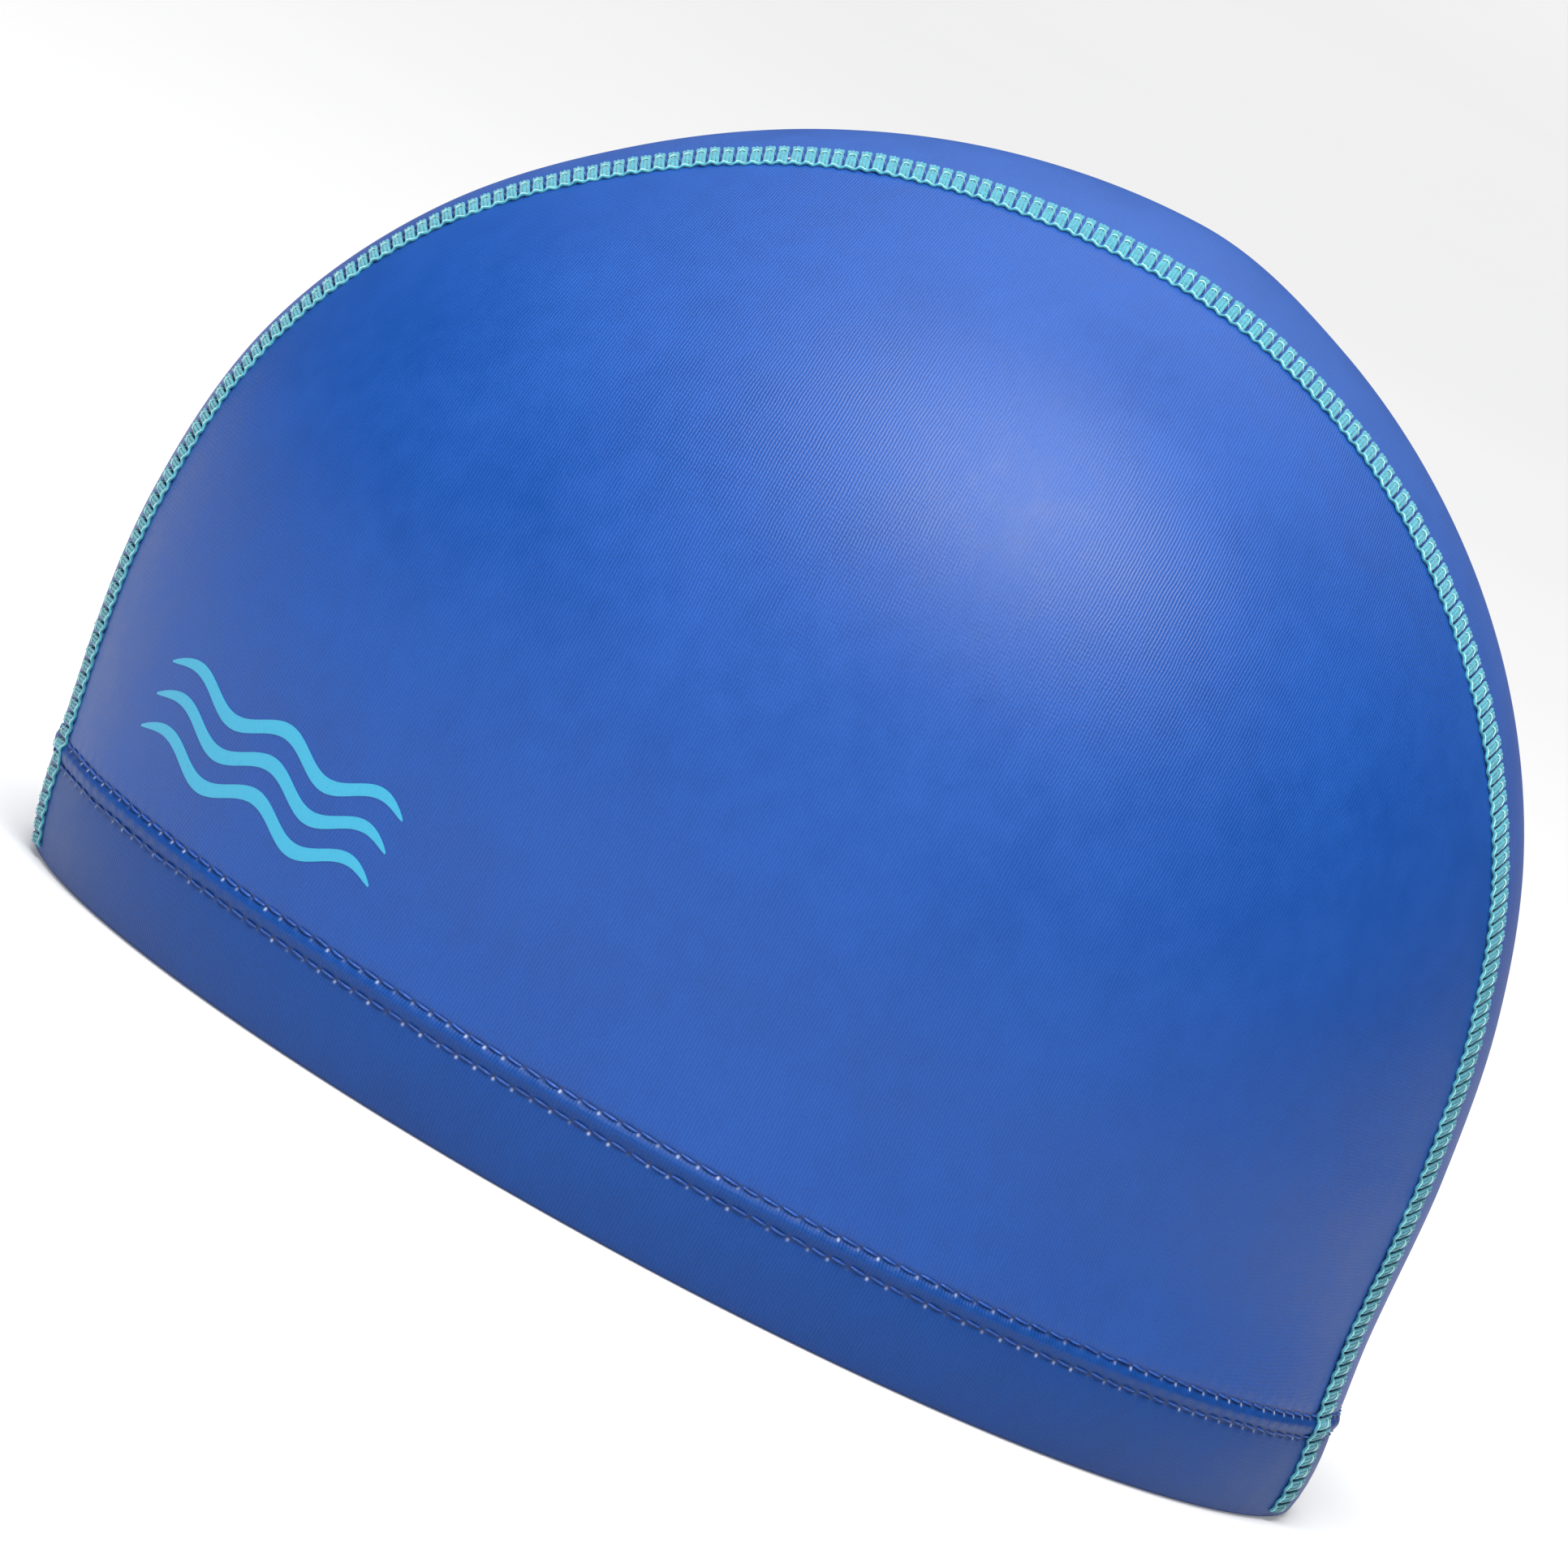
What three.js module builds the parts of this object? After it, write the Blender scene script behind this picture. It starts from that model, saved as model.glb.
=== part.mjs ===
// A three-panel swim cap of coated stretch cloth, resting open on its rim.
//
// Millimetres, +Z up. The rim lies flat on Z = 0, the wearer faces -Y and the wearer's left is +X.
// The origin is under the middle of the cap, on the surface that it rests on.
//
// The cloth's outer face is a closed dome seen from a hub inside the cap. Every place on it is named by
// the direction in which it lies from the hub, and panels, hem and seams are all laid out along that face.

import * as THREE from 'three';

// Overall sizes of the cap
const capLength = 205;
const capWidth = 160;
const crownHeight = 150.5;
const waistHeight = 51; // height of the hub, where the sides are widest
const crownSetback = 8; // the crown's top lies this far behind the middle of the length
const sideFlattening = 0.22; // how much less the dome swells on the way from the centre panel to the sides
const ridgeRounding = 0.1; // over this share of half the width the swell is rounded off along the middle

// Cloth and construction
const clothThickness = 1.2;
const pieceGap = 0.3;
const crownStripWidth = 45; // the centre panel at its widest, over the crown
const seamWidth = 6;
const seamThickness = 0.8;
const seamFootHeight = 1.2; // the seams stop this far above the rim
const lowerRowHeight = 13;
const upperRowHeight = 16.1;
const hemAllowance = 0.8; // cloth left above the upper stitch row
const hemSwell = 0.25; // the turned-up band bulges this far out below its rows
const hemRidge = 0.5; // the puffed ridge between the two rows
const rowDimple = 0.15; // the rows pull the cloth in by this much
const footWidth = 1; // the flat ring that the rim rests on, under the fold

// How finely the curved cloth is faceted
const sidePanelColumns = 34;
const sidePanelRows = 18;
const centrePanelColumns = 46;
const centrePanelRows = 6;
const hemSegments = 92;
const seamSegments = 64;

const hemTop = upperRowHeight + hemAllowance;
const hemThickness = 2 * clothThickness;
const panelFoot = hemTop + 1.5 * pieceGap;
const crownRise = crownHeight - waistHeight;
const domeReach = capWidth / 2 / flattening(1);

// The dome's distance from the hub at each climb above the waist, in degrees, as shares of half the
// length to the front and back, half the width to the side, and the crown's rise upwards.
const outlineStep = 15;
const outline = [
  { climb: -45, front: 1.15, back: 1.13, side: 1.17 },
  { climb: -30, front: 1.125, back: 1.05, side: 1.093 },
  { climb: -15, front: 1.08, back: 0.93, side: 1.021 },
  { climb: 0, front: 1.07, back: 0.885, side: 1.0 },
  { climb: 15, front: 1.07, back: 0.88, side: 1.0 },
  { climb: 30, front: 1.05, back: 0.895, side: 1.01 },
  { climb: 45, front: 1.02, back: 0.915, side: 1.02 },
  { climb: 60, front: 1.005, back: 0.94, side: 1.015 },
  { climb: 75, front: 1.0, back: 0.97, side: 1.005 },
  { climb: 90, front: 1.0, back: 1.0, side: 1.0 },
];

// Half the width of the centre panel on its way over the head, as a share of half its width at the crown.
// Station 0 is the forehead at waist height, 90 is the crown and 180 is the nape at waist height.
const stripStep = 30;
const strip = [
  { station: -60, reach: 0.56 },
  { station: -30, reach: 0.56 },
  { station: 0, reach: 0.56 },
  { station: 30, reach: 0.54 },
  { station: 60, reach: 0.7 },
  { station: 90, reach: 1.0 },
  { station: 120, reach: 0.78 },
  { station: 150, reach: 0.61 },
  { station: 180, reach: 0.53 },
  { station: 210, reach: 0.48 },
  { station: 240, reach: 0.45 },
];

// The rounded corner of the rim's fold, outside and inside alike, as shares of the cloth's thickness:
// how far its points lie in from the hem's face and up from the rim.
const foldCorner = [
  { inward: 0.12, up: 0.45 },
  { inward: 0, up: 1.1 },
];

// The cross-section of a flat seam, as shares of its width and thickness
const seamProfile = [
  { across: -0.5, thickness: 0.5 },
  { across: -0.35, thickness: 0.95 },
  { across: 0, thickness: 1 },
  { across: 0.35, thickness: 0.95 },
  { across: 0.5, thickness: 0.5 },
];

// Over the hem the seams stand clear of its ridge, and come down to the panels along this slope
const seamSlopeFoot = hemTop + 2;
const seamSlopeLength = 10;

// Where the long seam edge of a side panel is split into front, top and back edges
const foreCorner = THREE.MathUtils.degToRad(50);
const aftCorner = THREE.MathUtils.degToRad(135);

// Lines down to the rim are searched for between these angles from the level, in radians
const searchBelow = -Math.PI / 3;
const searchAbove = Math.PI / 3;

// A smooth curve through one column of an evenly spaced table. It runs straight on before the first row
// and mirrors itself about the last one.
function smoothColumn(rows, column, place) {
  const last = rows.length - 1;
  const index = THREE.MathUtils.clamp(Math.floor(place), 0, last - 1);
  const part = THREE.MathUtils.clamp(place - index, 0, 1);
  const value = (row) => {
    if (row < 0) return 2 * rows[0][column] - rows[1][column];
    return rows[last - Math.abs(last - row)][column];
  };
  const before = value(index - 1);
  const start = value(index);
  const end = value(index + 1);
  const after = value(index + 2);
  const slope = (end - before) / 2;
  const bend = before - 2.5 * start + 2 * end - after / 2;
  const twist = 1.5 * (start - end) + (after - before) / 2;
  return start + part * (slope + part * (bend + part * twist));
}

// The share that the flattening leaves of the dome, by how much of a direction points to the side
function flattening(sideways) {
  return 1 - sideFlattening * (Math.hypot(sideways, ridgeRounding) - ridgeRounding);
}

// The share of the half sizes at which the dome lies in a direction from the hub
function domeShare(direction) {
  const climb = THREE.MathUtils.radToDeg(Math.asin(THREE.MathUtils.clamp(direction.z, -1, 1)));
  const place = (climb - outline[0].climb) / outlineStep;
  const front = smoothColumn(outline, 'front', place);
  const back = smoothColumn(outline, 'back', place);
  const side = smoothColumn(outline, 'side', place);
  const ahead = -direction.y / Math.max(Math.hypot(direction.x, direction.y), 1e-9);
  const squared = ahead * ahead;
  const lengthwise = (front + back) / 2 + ((front - back) / 2) * ahead;
  return flattening(direction.x) * (side * (1 - squared) + lengthwise * squared);
}

// A point on the outer face of the cloth
function domePoint(direction) {
  const share = domeShare(direction);
  return new THREE.Vector3(
    domeReach * share * direction.x,
    crownSetback + (capLength / 2) * share * direction.y,
    waistHeight + crownRise * share * direction.z,
  );
}

function domeNormal(direction) {
  const nudge = 0.002;
  const axis = Math.abs(direction.x) < 0.8 ? new THREE.Vector3(1, 0, 0) : new THREE.Vector3(0, 1, 0);
  const first = axis.cross(direction).normalize();
  const second = direction.clone().cross(first);
  const step = (tangent) => {
    const ahead = domePoint(direction.clone().addScaledVector(tangent, nudge).normalize());
    const behind = domePoint(direction.clone().addScaledVector(tangent, -nudge).normalize());
    return ahead.sub(behind);
  };
  return step(first).cross(step(second)).normalize();
}

// A point on the outer face, moved out of the cloth by a lift or into it by a negative one
function liftedPoint(direction, lift) {
  return domePoint(direction).addScaledVector(domeNormal(direction), lift);
}

// The direction at a station of the way over the head in which the dome is so far to the side
function stationDirection(station, aside) {
  const direction = new THREE.Vector3();
  let turn = 0;
  for (let pass = 0; pass < 16; pass += 1) {
    const level = Math.cos(turn);
    direction.set(Math.sin(turn), -level * Math.cos(station), level * Math.sin(station));
    turn = Math.asin(THREE.MathUtils.clamp(aside / (domeReach * domeShare(direction)), -1, 1));
  }
  return direction;
}

// Halves an interval until it closes on the place where a rising height reaches its goal
function placeOfHeight(heightAt, low, high, goal) {
  let below = low;
  let above = high;
  for (let pass = 0; pass < 40; pass += 1) {
    const middle = (below + above) / 2;
    if (heightAt(middle) < goal) below = middle;
    else above = middle;
  }
  return (below + above) / 2;
}

// The direction at an azimuth, 0 ahead and a quarter turn to the left, in which the dome has a height
function heightDirection(azimuth, height) {
  const directionAt = (climb) => {
    const level = Math.cos(climb);
    return new THREE.Vector3(level * Math.sin(azimuth), -level * Math.cos(azimuth), Math.sin(climb));
  };
  const heightAt = (climb) => domePoint(directionAt(climb)).z;
  return directionAt(placeOfHeight(heightAt, searchBelow, searchAbove, height));
}

// Half the width of the centre panel at a station
function stripReach(station) {
  const place = (THREE.MathUtils.radToDeg(station) - strip[0].station) / stripStep;
  return (crownStripWidth / 2) * smoothColumn(strip, 'reach', place);
}

// The first and last station of a line that keeps its own distance from the middle, down to a height
function stationRange(asideAt, height) {
  const heightAt = (station) => domePoint(stationDirection(station, asideAt(station))).z;
  const start = placeOfHeight(heightAt, searchBelow, searchAbove, height);
  const end = placeOfHeight(heightAt, Math.PI - searchBelow, Math.PI - searchAbove, height);
  return { start, end };
}

// One closed body from a row of rings with equal numbers of points. A ring that isn't joined to the
// first again has its outer half before its inner half, and its two ends are zipped shut.
function bodyFromRings(rings, joined) {
  const size = rings[0].length;
  const count = rings.length;
  const positions = rings.flat().flatMap((point) => point.toArray());
  const triangles = [];
  const addQuad = (a, b, c, d) => triangles.push([a, b, c], [a, c, d]);
  for (let ring = 0; ring < (joined ? count : count - 1); ring += 1) {
    const here = ring * size;
    const next = ((ring + 1) % count) * size;
    for (let side = 0; side < size; side += 1) {
      const beside = (side + 1) % size;
      addQuad(here + side, next + side, next + beside, here + beside);
    }
  }
  if (!joined) {
    const far = (count - 1) * size;
    for (let side = 0; side < size / 2 - 1; side += 1) {
      const opposite = size - 1 - side;
      addQuad(side, side + 1, opposite - 1, opposite);
      addQuad(far + opposite, far + opposite - 1, far + side + 1, far + side);
    }
  }
  const geometry = new THREE.BufferGeometry();
  geometry.setAttribute('position', new THREE.Float32BufferAttribute(positions, 3));
  geometry.setIndex(outwardTriangles(positions, triangles).flat());
  geometry.computeVertexNormals();
  return geometry;
}

// Turns all the triangles over if they enclose a negative volume
function outwardTriangles(positions, triangles) {
  const corner = (index) => new THREE.Vector3().fromArray(positions, 3 * index);
  const volume = triangles.reduce((sum, [a, b, c]) => sum + corner(a).dot(corner(b).cross(corner(c))), 0);
  return volume > 0 ? triangles : triangles.map(([a, b, c]) => [a, c, b]);
}

// A wall of cloth over a patch of the dome, whose directions come from two shares
function clothSheet(patch, columns, rows) {
  const rings = [];
  for (let column = 0; column <= columns; column += 1) {
    const outer = [];
    const inner = [];
    for (let row = 0; row <= rows; row += 1) {
      const direction = patch(column / columns, row / rows);
      outer.push(liftedPoint(direction, 0));
      inner.unshift(liftedPoint(direction, -clothThickness));
    }
    rings.push([...outer, ...inner]);
  }
  return bodyFromRings(rings, false);
}

// A side panel is a D that stands on its straight edge. Its edges are the hem line below and the seam
// in front, on top and behind, and its inside is blended from all four.
function sidePanel(side) {
  const seamAside = (station) => stripReach(station) + pieceGap / 2;
  const seamAt = (station) => stationDirection(station, seamAside(station));
  const { start, end } = stationRange(seamAside, panelFoot);
  const azimuthOf = (direction) => Math.atan2(direction.x, -direction.y);
  const firstAzimuth = azimuthOf(seamAt(start));
  const lastAzimuth = azimuthOf(seamAt(end));
  const { lerp } = THREE.MathUtils;
  const below = (along) => heightDirection(lerp(firstAzimuth, lastAzimuth, along), panelFoot);
  const above = (along) => seamAt(lerp(foreCorner, aftCorner, along));
  const ahead = (up) => seamAt(lerp(start, foreCorner, up));
  const behind = (up) => seamAt(lerp(end, aftCorner, up));
  const patch = (along, up) => {
    const direction = new THREE.Vector3();
    direction.addScaledVector(below(along), 1 - up).addScaledVector(above(along), up);
    direction.addScaledVector(ahead(up), 1 - along).addScaledVector(behind(up), along);
    direction.addScaledVector(below(0), -(1 - along) * (1 - up)).addScaledVector(below(1), -along * (1 - up));
    direction.addScaledVector(above(0), -(1 - along) * up).addScaledVector(above(1), -along * up);
    direction.normalize();
    direction.x *= side;
    return direction;
  };
  return clothSheet(patch, sidePanelColumns, sidePanelRows);
}

// The centre panel runs from the hem at the forehead over the crown to the hem at the nape
function centrePanel() {
  const lines = [];
  for (let row = 0; row <= centrePanelRows; row += 1) {
    const share = (2 * row) / centrePanelRows - 1;
    const asideAt = (station) => share * (stripReach(station) - pieceGap / 2);
    lines.push({ asideAt, ...stationRange(asideAt, panelFoot) });
  }
  const patch = (along, across) => {
    const line = lines[Math.round(across * centrePanelRows)];
    const station = THREE.MathUtils.lerp(line.start, line.end, along);
    return stationDirection(station, line.asideAt(station));
  };
  return clothSheet(patch, centrePanelColumns, centrePanelRows);
}

// The hem's cross-section, once round from the outer edge of the rim's flat foot. Out is measured
// sideways from the dome and up from the rim.
function hemSection() {
  const footMiddle = -hemThickness / 2;
  const outerFold = foldCorner.map(({ inward, up }) => ({
    out: -inward * clothThickness,
    up: up * clothThickness,
  }));
  const innerFold = foldCorner.map(({ inward, up }) => ({
    out: inward * clothThickness - hemThickness,
    up: up * clothThickness,
  }));
  return [
    { out: footMiddle + footWidth / 2, up: 0 },
    ...outerFold,
    { out: hemSwell, up: lowerRowHeight / 2 },
    { out: -rowDimple, up: lowerRowHeight },
    { out: hemRidge, up: (lowerRowHeight + upperRowHeight) / 2 },
    { out: -rowDimple, up: upperRowHeight },
    { out: 0, up: hemTop },
    { out: -hemThickness, up: hemTop },
    { out: -hemThickness - hemSwell, up: lowerRowHeight / 2 },
    ...innerFold.reverse(),
    { out: footMiddle - footWidth / 2, up: 0 },
  ];
}

// The cloth's lower edge, turned up inside and stitched down as a band of two layers
function hemBand() {
  const section = hemSection();
  const rings = [];
  for (let segment = 0; segment < hemSegments; segment += 1) {
    const azimuth = (2 * Math.PI * segment) / hemSegments;
    const ring = section.map(({ out, up }) => {
      const direction = heightDirection(azimuth, up);
      const level = domeNormal(direction).setZ(0).normalize();
      return domePoint(direction).addScaledVector(level, out).setZ(up);
    });
    rings.push(ring);
  }
  return bodyFromRings(rings, true);
}

// How far the underside of a seam stands off the dome: one gap, and over the hem its ridge as well
function seamSeat(height) {
  const overPanel = THREE.MathUtils.smoothstep(height, seamSlopeFoot, seamSlopeFoot + seamSlopeLength);
  return pieceGap + hemRidge * (1 - overPanel);
}

// A flat seam: a slim raised band that covers the joint of the centre panel and a side panel
function flatSeam(side) {
  const { start, end } = stationRange(stripReach, seamFootHeight);
  const rings = [];
  for (let segment = 0; segment <= seamSegments; segment += 1) {
    const station = THREE.MathUtils.lerp(start, end, segment / seamSegments);
    const upper = [];
    const under = [];
    seamProfile.forEach(({ across, thickness }) => {
      const direction = stationDirection(station, stripReach(station) + across * seamWidth);
      const seat = seamSeat(domePoint(direction).z);
      direction.x *= side;
      upper.push(liftedPoint(direction, seat + thickness * seamThickness));
      under.unshift(liftedPoint(direction, seat));
    });
    rings.push([...upper, ...under]);
  }
  return bodyFromRings(rings, false);
}

function addPiece(name, geometry, color, roughness) {
  const material = new THREE.MeshStandardMaterial({ color, roughness, metalness: 0 });
  const mesh = new THREE.Mesh(geometry, material);
  mesh.name = name;
  group.add(mesh);
}

const royalBlue = 0x3f66ad;
const hemBlue = 0x2c5698;
const turquoise = 0x3cb4c3;

const group = new THREE.Group();
addPiece('left_panel', sidePanel(1), royalBlue, 0.55);
addPiece('right_panel', sidePanel(-1), royalBlue, 0.55);
addPiece('centre_panel', centrePanel(), royalBlue, 0.6);
addPiece('hem_band', hemBand(), hemBlue, 0.6);
addPiece('left_seam', flatSeam(1), turquoise, 0.8);
addPiece('right_seam', flatSeam(-1), turquoise, 0.8);

// The middle of the cap's length goes over the origin
const extent = new THREE.Box3().setFromObject(group);
group.position.y = -extent.getCenter(new THREE.Vector3()).y;

export default group;
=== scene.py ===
"""The look of a three-panel swim cap that rests open on its rim.

Metres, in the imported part's frame: +Z up, the forehead towards -Y, the wearer's left at +X. The cloth's
outer face is a dome seen from a hub inside the cap, laid out as in the part's source, and every piece is
laid along that dome.
"""

import logging
import math
from collections.abc import Callable
from dataclasses import dataclass, field
from enum import Enum

import bpy
import numpy as np
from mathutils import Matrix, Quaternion, Vector


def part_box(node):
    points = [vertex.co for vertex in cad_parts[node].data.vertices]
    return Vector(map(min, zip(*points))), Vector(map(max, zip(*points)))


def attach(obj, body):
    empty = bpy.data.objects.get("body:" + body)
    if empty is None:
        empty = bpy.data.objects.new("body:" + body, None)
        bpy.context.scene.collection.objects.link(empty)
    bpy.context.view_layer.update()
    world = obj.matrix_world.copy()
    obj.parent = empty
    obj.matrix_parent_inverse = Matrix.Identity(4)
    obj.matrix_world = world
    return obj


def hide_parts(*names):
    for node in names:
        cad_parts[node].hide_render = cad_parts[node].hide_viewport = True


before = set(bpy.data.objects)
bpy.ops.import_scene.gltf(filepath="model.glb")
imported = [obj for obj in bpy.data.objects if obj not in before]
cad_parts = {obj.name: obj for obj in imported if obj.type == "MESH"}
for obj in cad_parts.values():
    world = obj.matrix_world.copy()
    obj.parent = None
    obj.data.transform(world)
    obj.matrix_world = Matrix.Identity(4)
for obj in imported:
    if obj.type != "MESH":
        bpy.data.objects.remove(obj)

LOG = logging.getLogger("swim_cap")
UV_NAME = "cloth_run"
HEM_RUN = "hem_run"


class Side(Enum):
    """A side of the head, with the sign of its X."""

    LEFT = 1.0
    RIGHT = -1.0


# ---- The dome of the cloth ----


def smooth_column(column: tuple[float, ...], place: np.ndarray) -> np.ndarray:
    """Reads a smooth curve through evenly spaced values.

    Args:
        column: The values, which run straight on before the first and mirror about the last.
        place: Where to read, in steps from the first value.

    Returns:
        The values at these places.
    """
    last = len(column) - 1
    values = np.array([2 * column[0] - column[1], *column, column[last - 1]])
    index = np.clip(np.floor(place).astype(int), 0, last - 1)
    part = np.clip(place - index, 0.0, 1.0)
    before, start, end, after = (values[index + step] for step in range(4))
    slope = (end - before) / 2
    bend = before - 2.5 * start + 2 * end - after / 2
    twist = 1.5 * (start - end) + (after - before) / 2
    return start + part * (slope + part * (bend + part * twist))


def place_of_height(
    height_at: Callable[[np.ndarray], np.ndarray], low: np.ndarray, high: np.ndarray, goal: np.ndarray
) -> np.ndarray:
    """Halves intervals until they close on the places where a rising height reaches its goal.

    Args:
        height_at: Gives the heights at places.
        low: The lower ends of the intervals.
        high: The upper ends of the intervals.
        goal: The heights to reach.

    Returns:
        The places.
    """
    below, above = np.broadcast_arrays(np.asarray(low, float), np.asarray(high, float), goal)[:2]
    below, above = below.copy(), above.copy()
    for _ in range(36):
        middle = (below + above) / 2
        short = height_at(middle) < goal
        below = np.where(short, middle, below)
        above = np.where(short, above, middle)
    return (below + above) / 2


@dataclass(frozen=True)
class Dome:
    """The outer face of the cloth, by the direction from the hub.

    The shares say how far the dome lies from the hub at each climb above the waist, of half the length
    to the front and back, half the width to the side, and the crown's rise upwards. Station 0 of the way
    over the head is the forehead at waist height, a quarter turn is the crown, a half turn the nape.
    """

    length: float = 0.205
    width: float = 0.160
    height: float = 0.1505
    waist: float = 0.051
    setback: float = 0.008
    strip_width: float = 0.045
    side_flattening: float = 0.22
    ridge_rounding: float = 0.1
    shift: float = 0.0
    climb_start: float = -45.0
    climb_step: float = 15.0
    front: tuple[float, ...] = (1.15, 1.125, 1.08, 1.07, 1.07, 1.05, 1.02, 1.005, 1.0, 1.0)
    back: tuple[float, ...] = (1.13, 1.05, 0.93, 0.885, 0.88, 0.895, 0.915, 0.94, 0.97, 1.0)
    side: tuple[float, ...] = (1.17, 1.093, 1.021, 1.0, 1.0, 1.01, 1.02, 1.015, 1.005, 1.0)
    station_start: float = -60.0
    station_step: float = 30.0
    reach: tuple[float, ...] = (0.56, 0.56, 0.56, 0.54, 0.7, 1.0, 0.78, 0.61, 0.53, 0.48, 0.45)
    search: float = math.pi / 3

    def flattening(self, sideways: np.ndarray | float) -> np.ndarray | float:
        """Gives the share that is left of the dome, by how much of a direction points to the side."""
        return 1 - self.side_flattening * (np.hypot(sideways, self.ridge_rounding) - self.ridge_rounding)

    @property
    def side_reach(self) -> float:
        """Half the width before the dome is flattened."""
        return float(self.width / 2 / self.flattening(1.0))

    def share(self, direction: np.ndarray) -> np.ndarray:
        """Gives the share of the half sizes at which the dome lies.

        Args:
            direction: Unit directions from the hub, one a row.

        Returns:
            One share a row.
        """
        climb = np.degrees(np.arcsin(np.clip(direction[:, 2], -1.0, 1.0)))
        place = (climb - self.climb_start) / self.climb_step
        front, back, side = (smooth_column(column, place) for column in (self.front, self.back, self.side))
        ahead = -direction[:, 1] / np.maximum(np.hypot(direction[:, 0], direction[:, 1]), 1e-9)
        squared = ahead**2
        lengthwise = (front + back) / 2 + (front - back) / 2 * ahead
        return self.flattening(direction[:, 0]) * (side * (1 - squared) + lengthwise * squared)

    def point(self, direction: np.ndarray) -> np.ndarray:
        """Gives the dome's points in the given directions, one a row."""
        reach = self.share(direction)[:, None] * direction
        halves = np.array([self.side_reach, self.length / 2, self.height - self.waist])
        return reach * halves + np.array([0.0, self.setback + self.shift, self.waist])

    def normal(self, direction: np.ndarray) -> np.ndarray:
        """Gives the dome's outward normals in the given directions, one a row."""
        nudge = 0.002
        sideways = np.where(np.abs(direction[:, :1]) < 0.8, [[1.0, 0.0, 0.0]], [[0.0, 1.0, 0.0]])
        first = unit_rows(np.cross(sideways, direction))
        second = np.cross(direction, first)
        steps = [
            self.point(unit_rows(direction + nudge * way)) - self.point(unit_rows(direction - nudge * way))
            for way in (first, second)
        ]
        return unit_rows(np.cross(steps[0], steps[1]))

    def lifted(self, direction: np.ndarray, lift: np.ndarray | float) -> np.ndarray:
        """Gives points lifted out of the cloth.

        Args:
            direction: Unit directions from the hub, one a row.
            lift: How far out of the outer face each point lies.

        Returns:
            The points, one a row.
        """
        return self.point(direction) + self.normal(direction) * np.reshape(lift, (-1, 1))

    def at_station(self, station: np.ndarray, aside: np.ndarray) -> np.ndarray:
        """Finds the directions at stations of the way over the head.

        Args:
            station: The stations, in radians.
            aside: How far to the side of the middle the dome is there.

        Returns:
            Unit directions, one a row.
        """
        station, aside = np.broadcast_arrays(np.asarray(station, float), np.asarray(aside, float))
        turn = np.zeros_like(station)
        for _ in range(16):
            level = np.cos(turn)
            direction = np.stack([np.sin(turn), -level * np.cos(station), level * np.sin(station)], axis=1)
            turn = np.arcsin(np.clip(aside / (self.side_reach * self.share(direction)), -1.0, 1.0))
        return direction

    def at_height(self, azimuth: np.ndarray, height: np.ndarray) -> np.ndarray:
        """Finds the directions at azimuths in which the dome has a height.

        Args:
            azimuth: Radians, 0 ahead and a quarter turn to the wearer's left.
            height: The heights above the rim.

        Returns:
            Unit directions, one a row.
        """
        azimuth, height = np.broadcast_arrays(np.asarray(azimuth, float), np.asarray(height, float))

        def direction_at(climb: np.ndarray) -> np.ndarray:
            """Gives the directions at these climbs."""
            level = np.cos(climb)
            return np.stack([level * np.sin(azimuth), -level * np.cos(azimuth), np.sin(climb)], axis=1)

        climb = place_of_height(
            lambda places: self.point(direction_at(places))[:, 2], -self.search, self.search, height
        )
        return direction_at(climb)

    def strip_reach(self, station: np.ndarray) -> np.ndarray:
        """Gives half the centre panel's width at stations in radians."""
        place = (np.degrees(station) - self.station_start) / self.station_step
        return self.strip_width / 2 * smooth_column(self.reach, place)

    def station_range(self, share: np.ndarray, offset: float, height: float) -> tuple[np.ndarray, np.ndarray]:
        """Finds where lines over the head come down to a height.

        Args:
            share: The share of half the centre panel's width at which each line runs.
            offset: How far outside that place the lines run.
            height: The height of their ends.

        Returns:
            The first and the last station of each line.
        """
        share = np.atleast_1d(np.asarray(share, float))
        goal = np.full(share.shape, height)

        def height_at(station: np.ndarray) -> np.ndarray:
            """Gives the heights of the lines at these stations."""
            return self.point(self.at_station(station, share * self.strip_reach(station) + offset))[:, 2]

        start = place_of_height(height_at, -self.search, self.search, goal)
        end = place_of_height(height_at, math.pi + self.search, math.pi - self.search, goal)
        return start, end


def unit_rows(rows: np.ndarray) -> np.ndarray:
    """Scales each row to length one."""
    return rows / np.maximum(np.linalg.norm(rows, axis=1, keepdims=True), 1e-12)


def lerp(start: np.ndarray | float, end: np.ndarray | float, share: np.ndarray) -> np.ndarray:
    """Goes from start to end by a share."""
    return start + (end - start) * share


def bell(distance: np.ndarray, width: float) -> np.ndarray:
    """Gives a smooth bump that is one at no distance and fades over the width."""
    return np.exp(-((distance / width) ** 2))


def run_length(points: np.ndarray) -> np.ndarray:
    """Gives the length run along a row of points at each of them."""
    return np.concatenate([[0.0], np.cumsum(np.linalg.norm(np.diff(points, axis=0), axis=1))])


def dome_of_frame() -> Dome:
    """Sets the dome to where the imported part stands."""
    dome = Dome()
    station = np.linspace(0.0, math.pi / 4, 200)
    foremost = dome.point(dome.at_station(station, 0.0 * station))[:, 1].min()
    return Dome(shift=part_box("centre_panel")[0].y - foremost)


# ---- Modelling by hand ----


def deselect_all() -> None:
    """Leaves nothing selected."""
    bpy.ops.object.select_all(action="DESELECT")


def vertices_of(piece: bpy.types.Object) -> np.ndarray:
    """Reads a mesh's vertices, one a row."""
    flat = np.empty(3 * len(piece.data.vertices))
    piece.data.vertices.foreach_get("co", flat)
    return flat.reshape(-1, 3)


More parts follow.
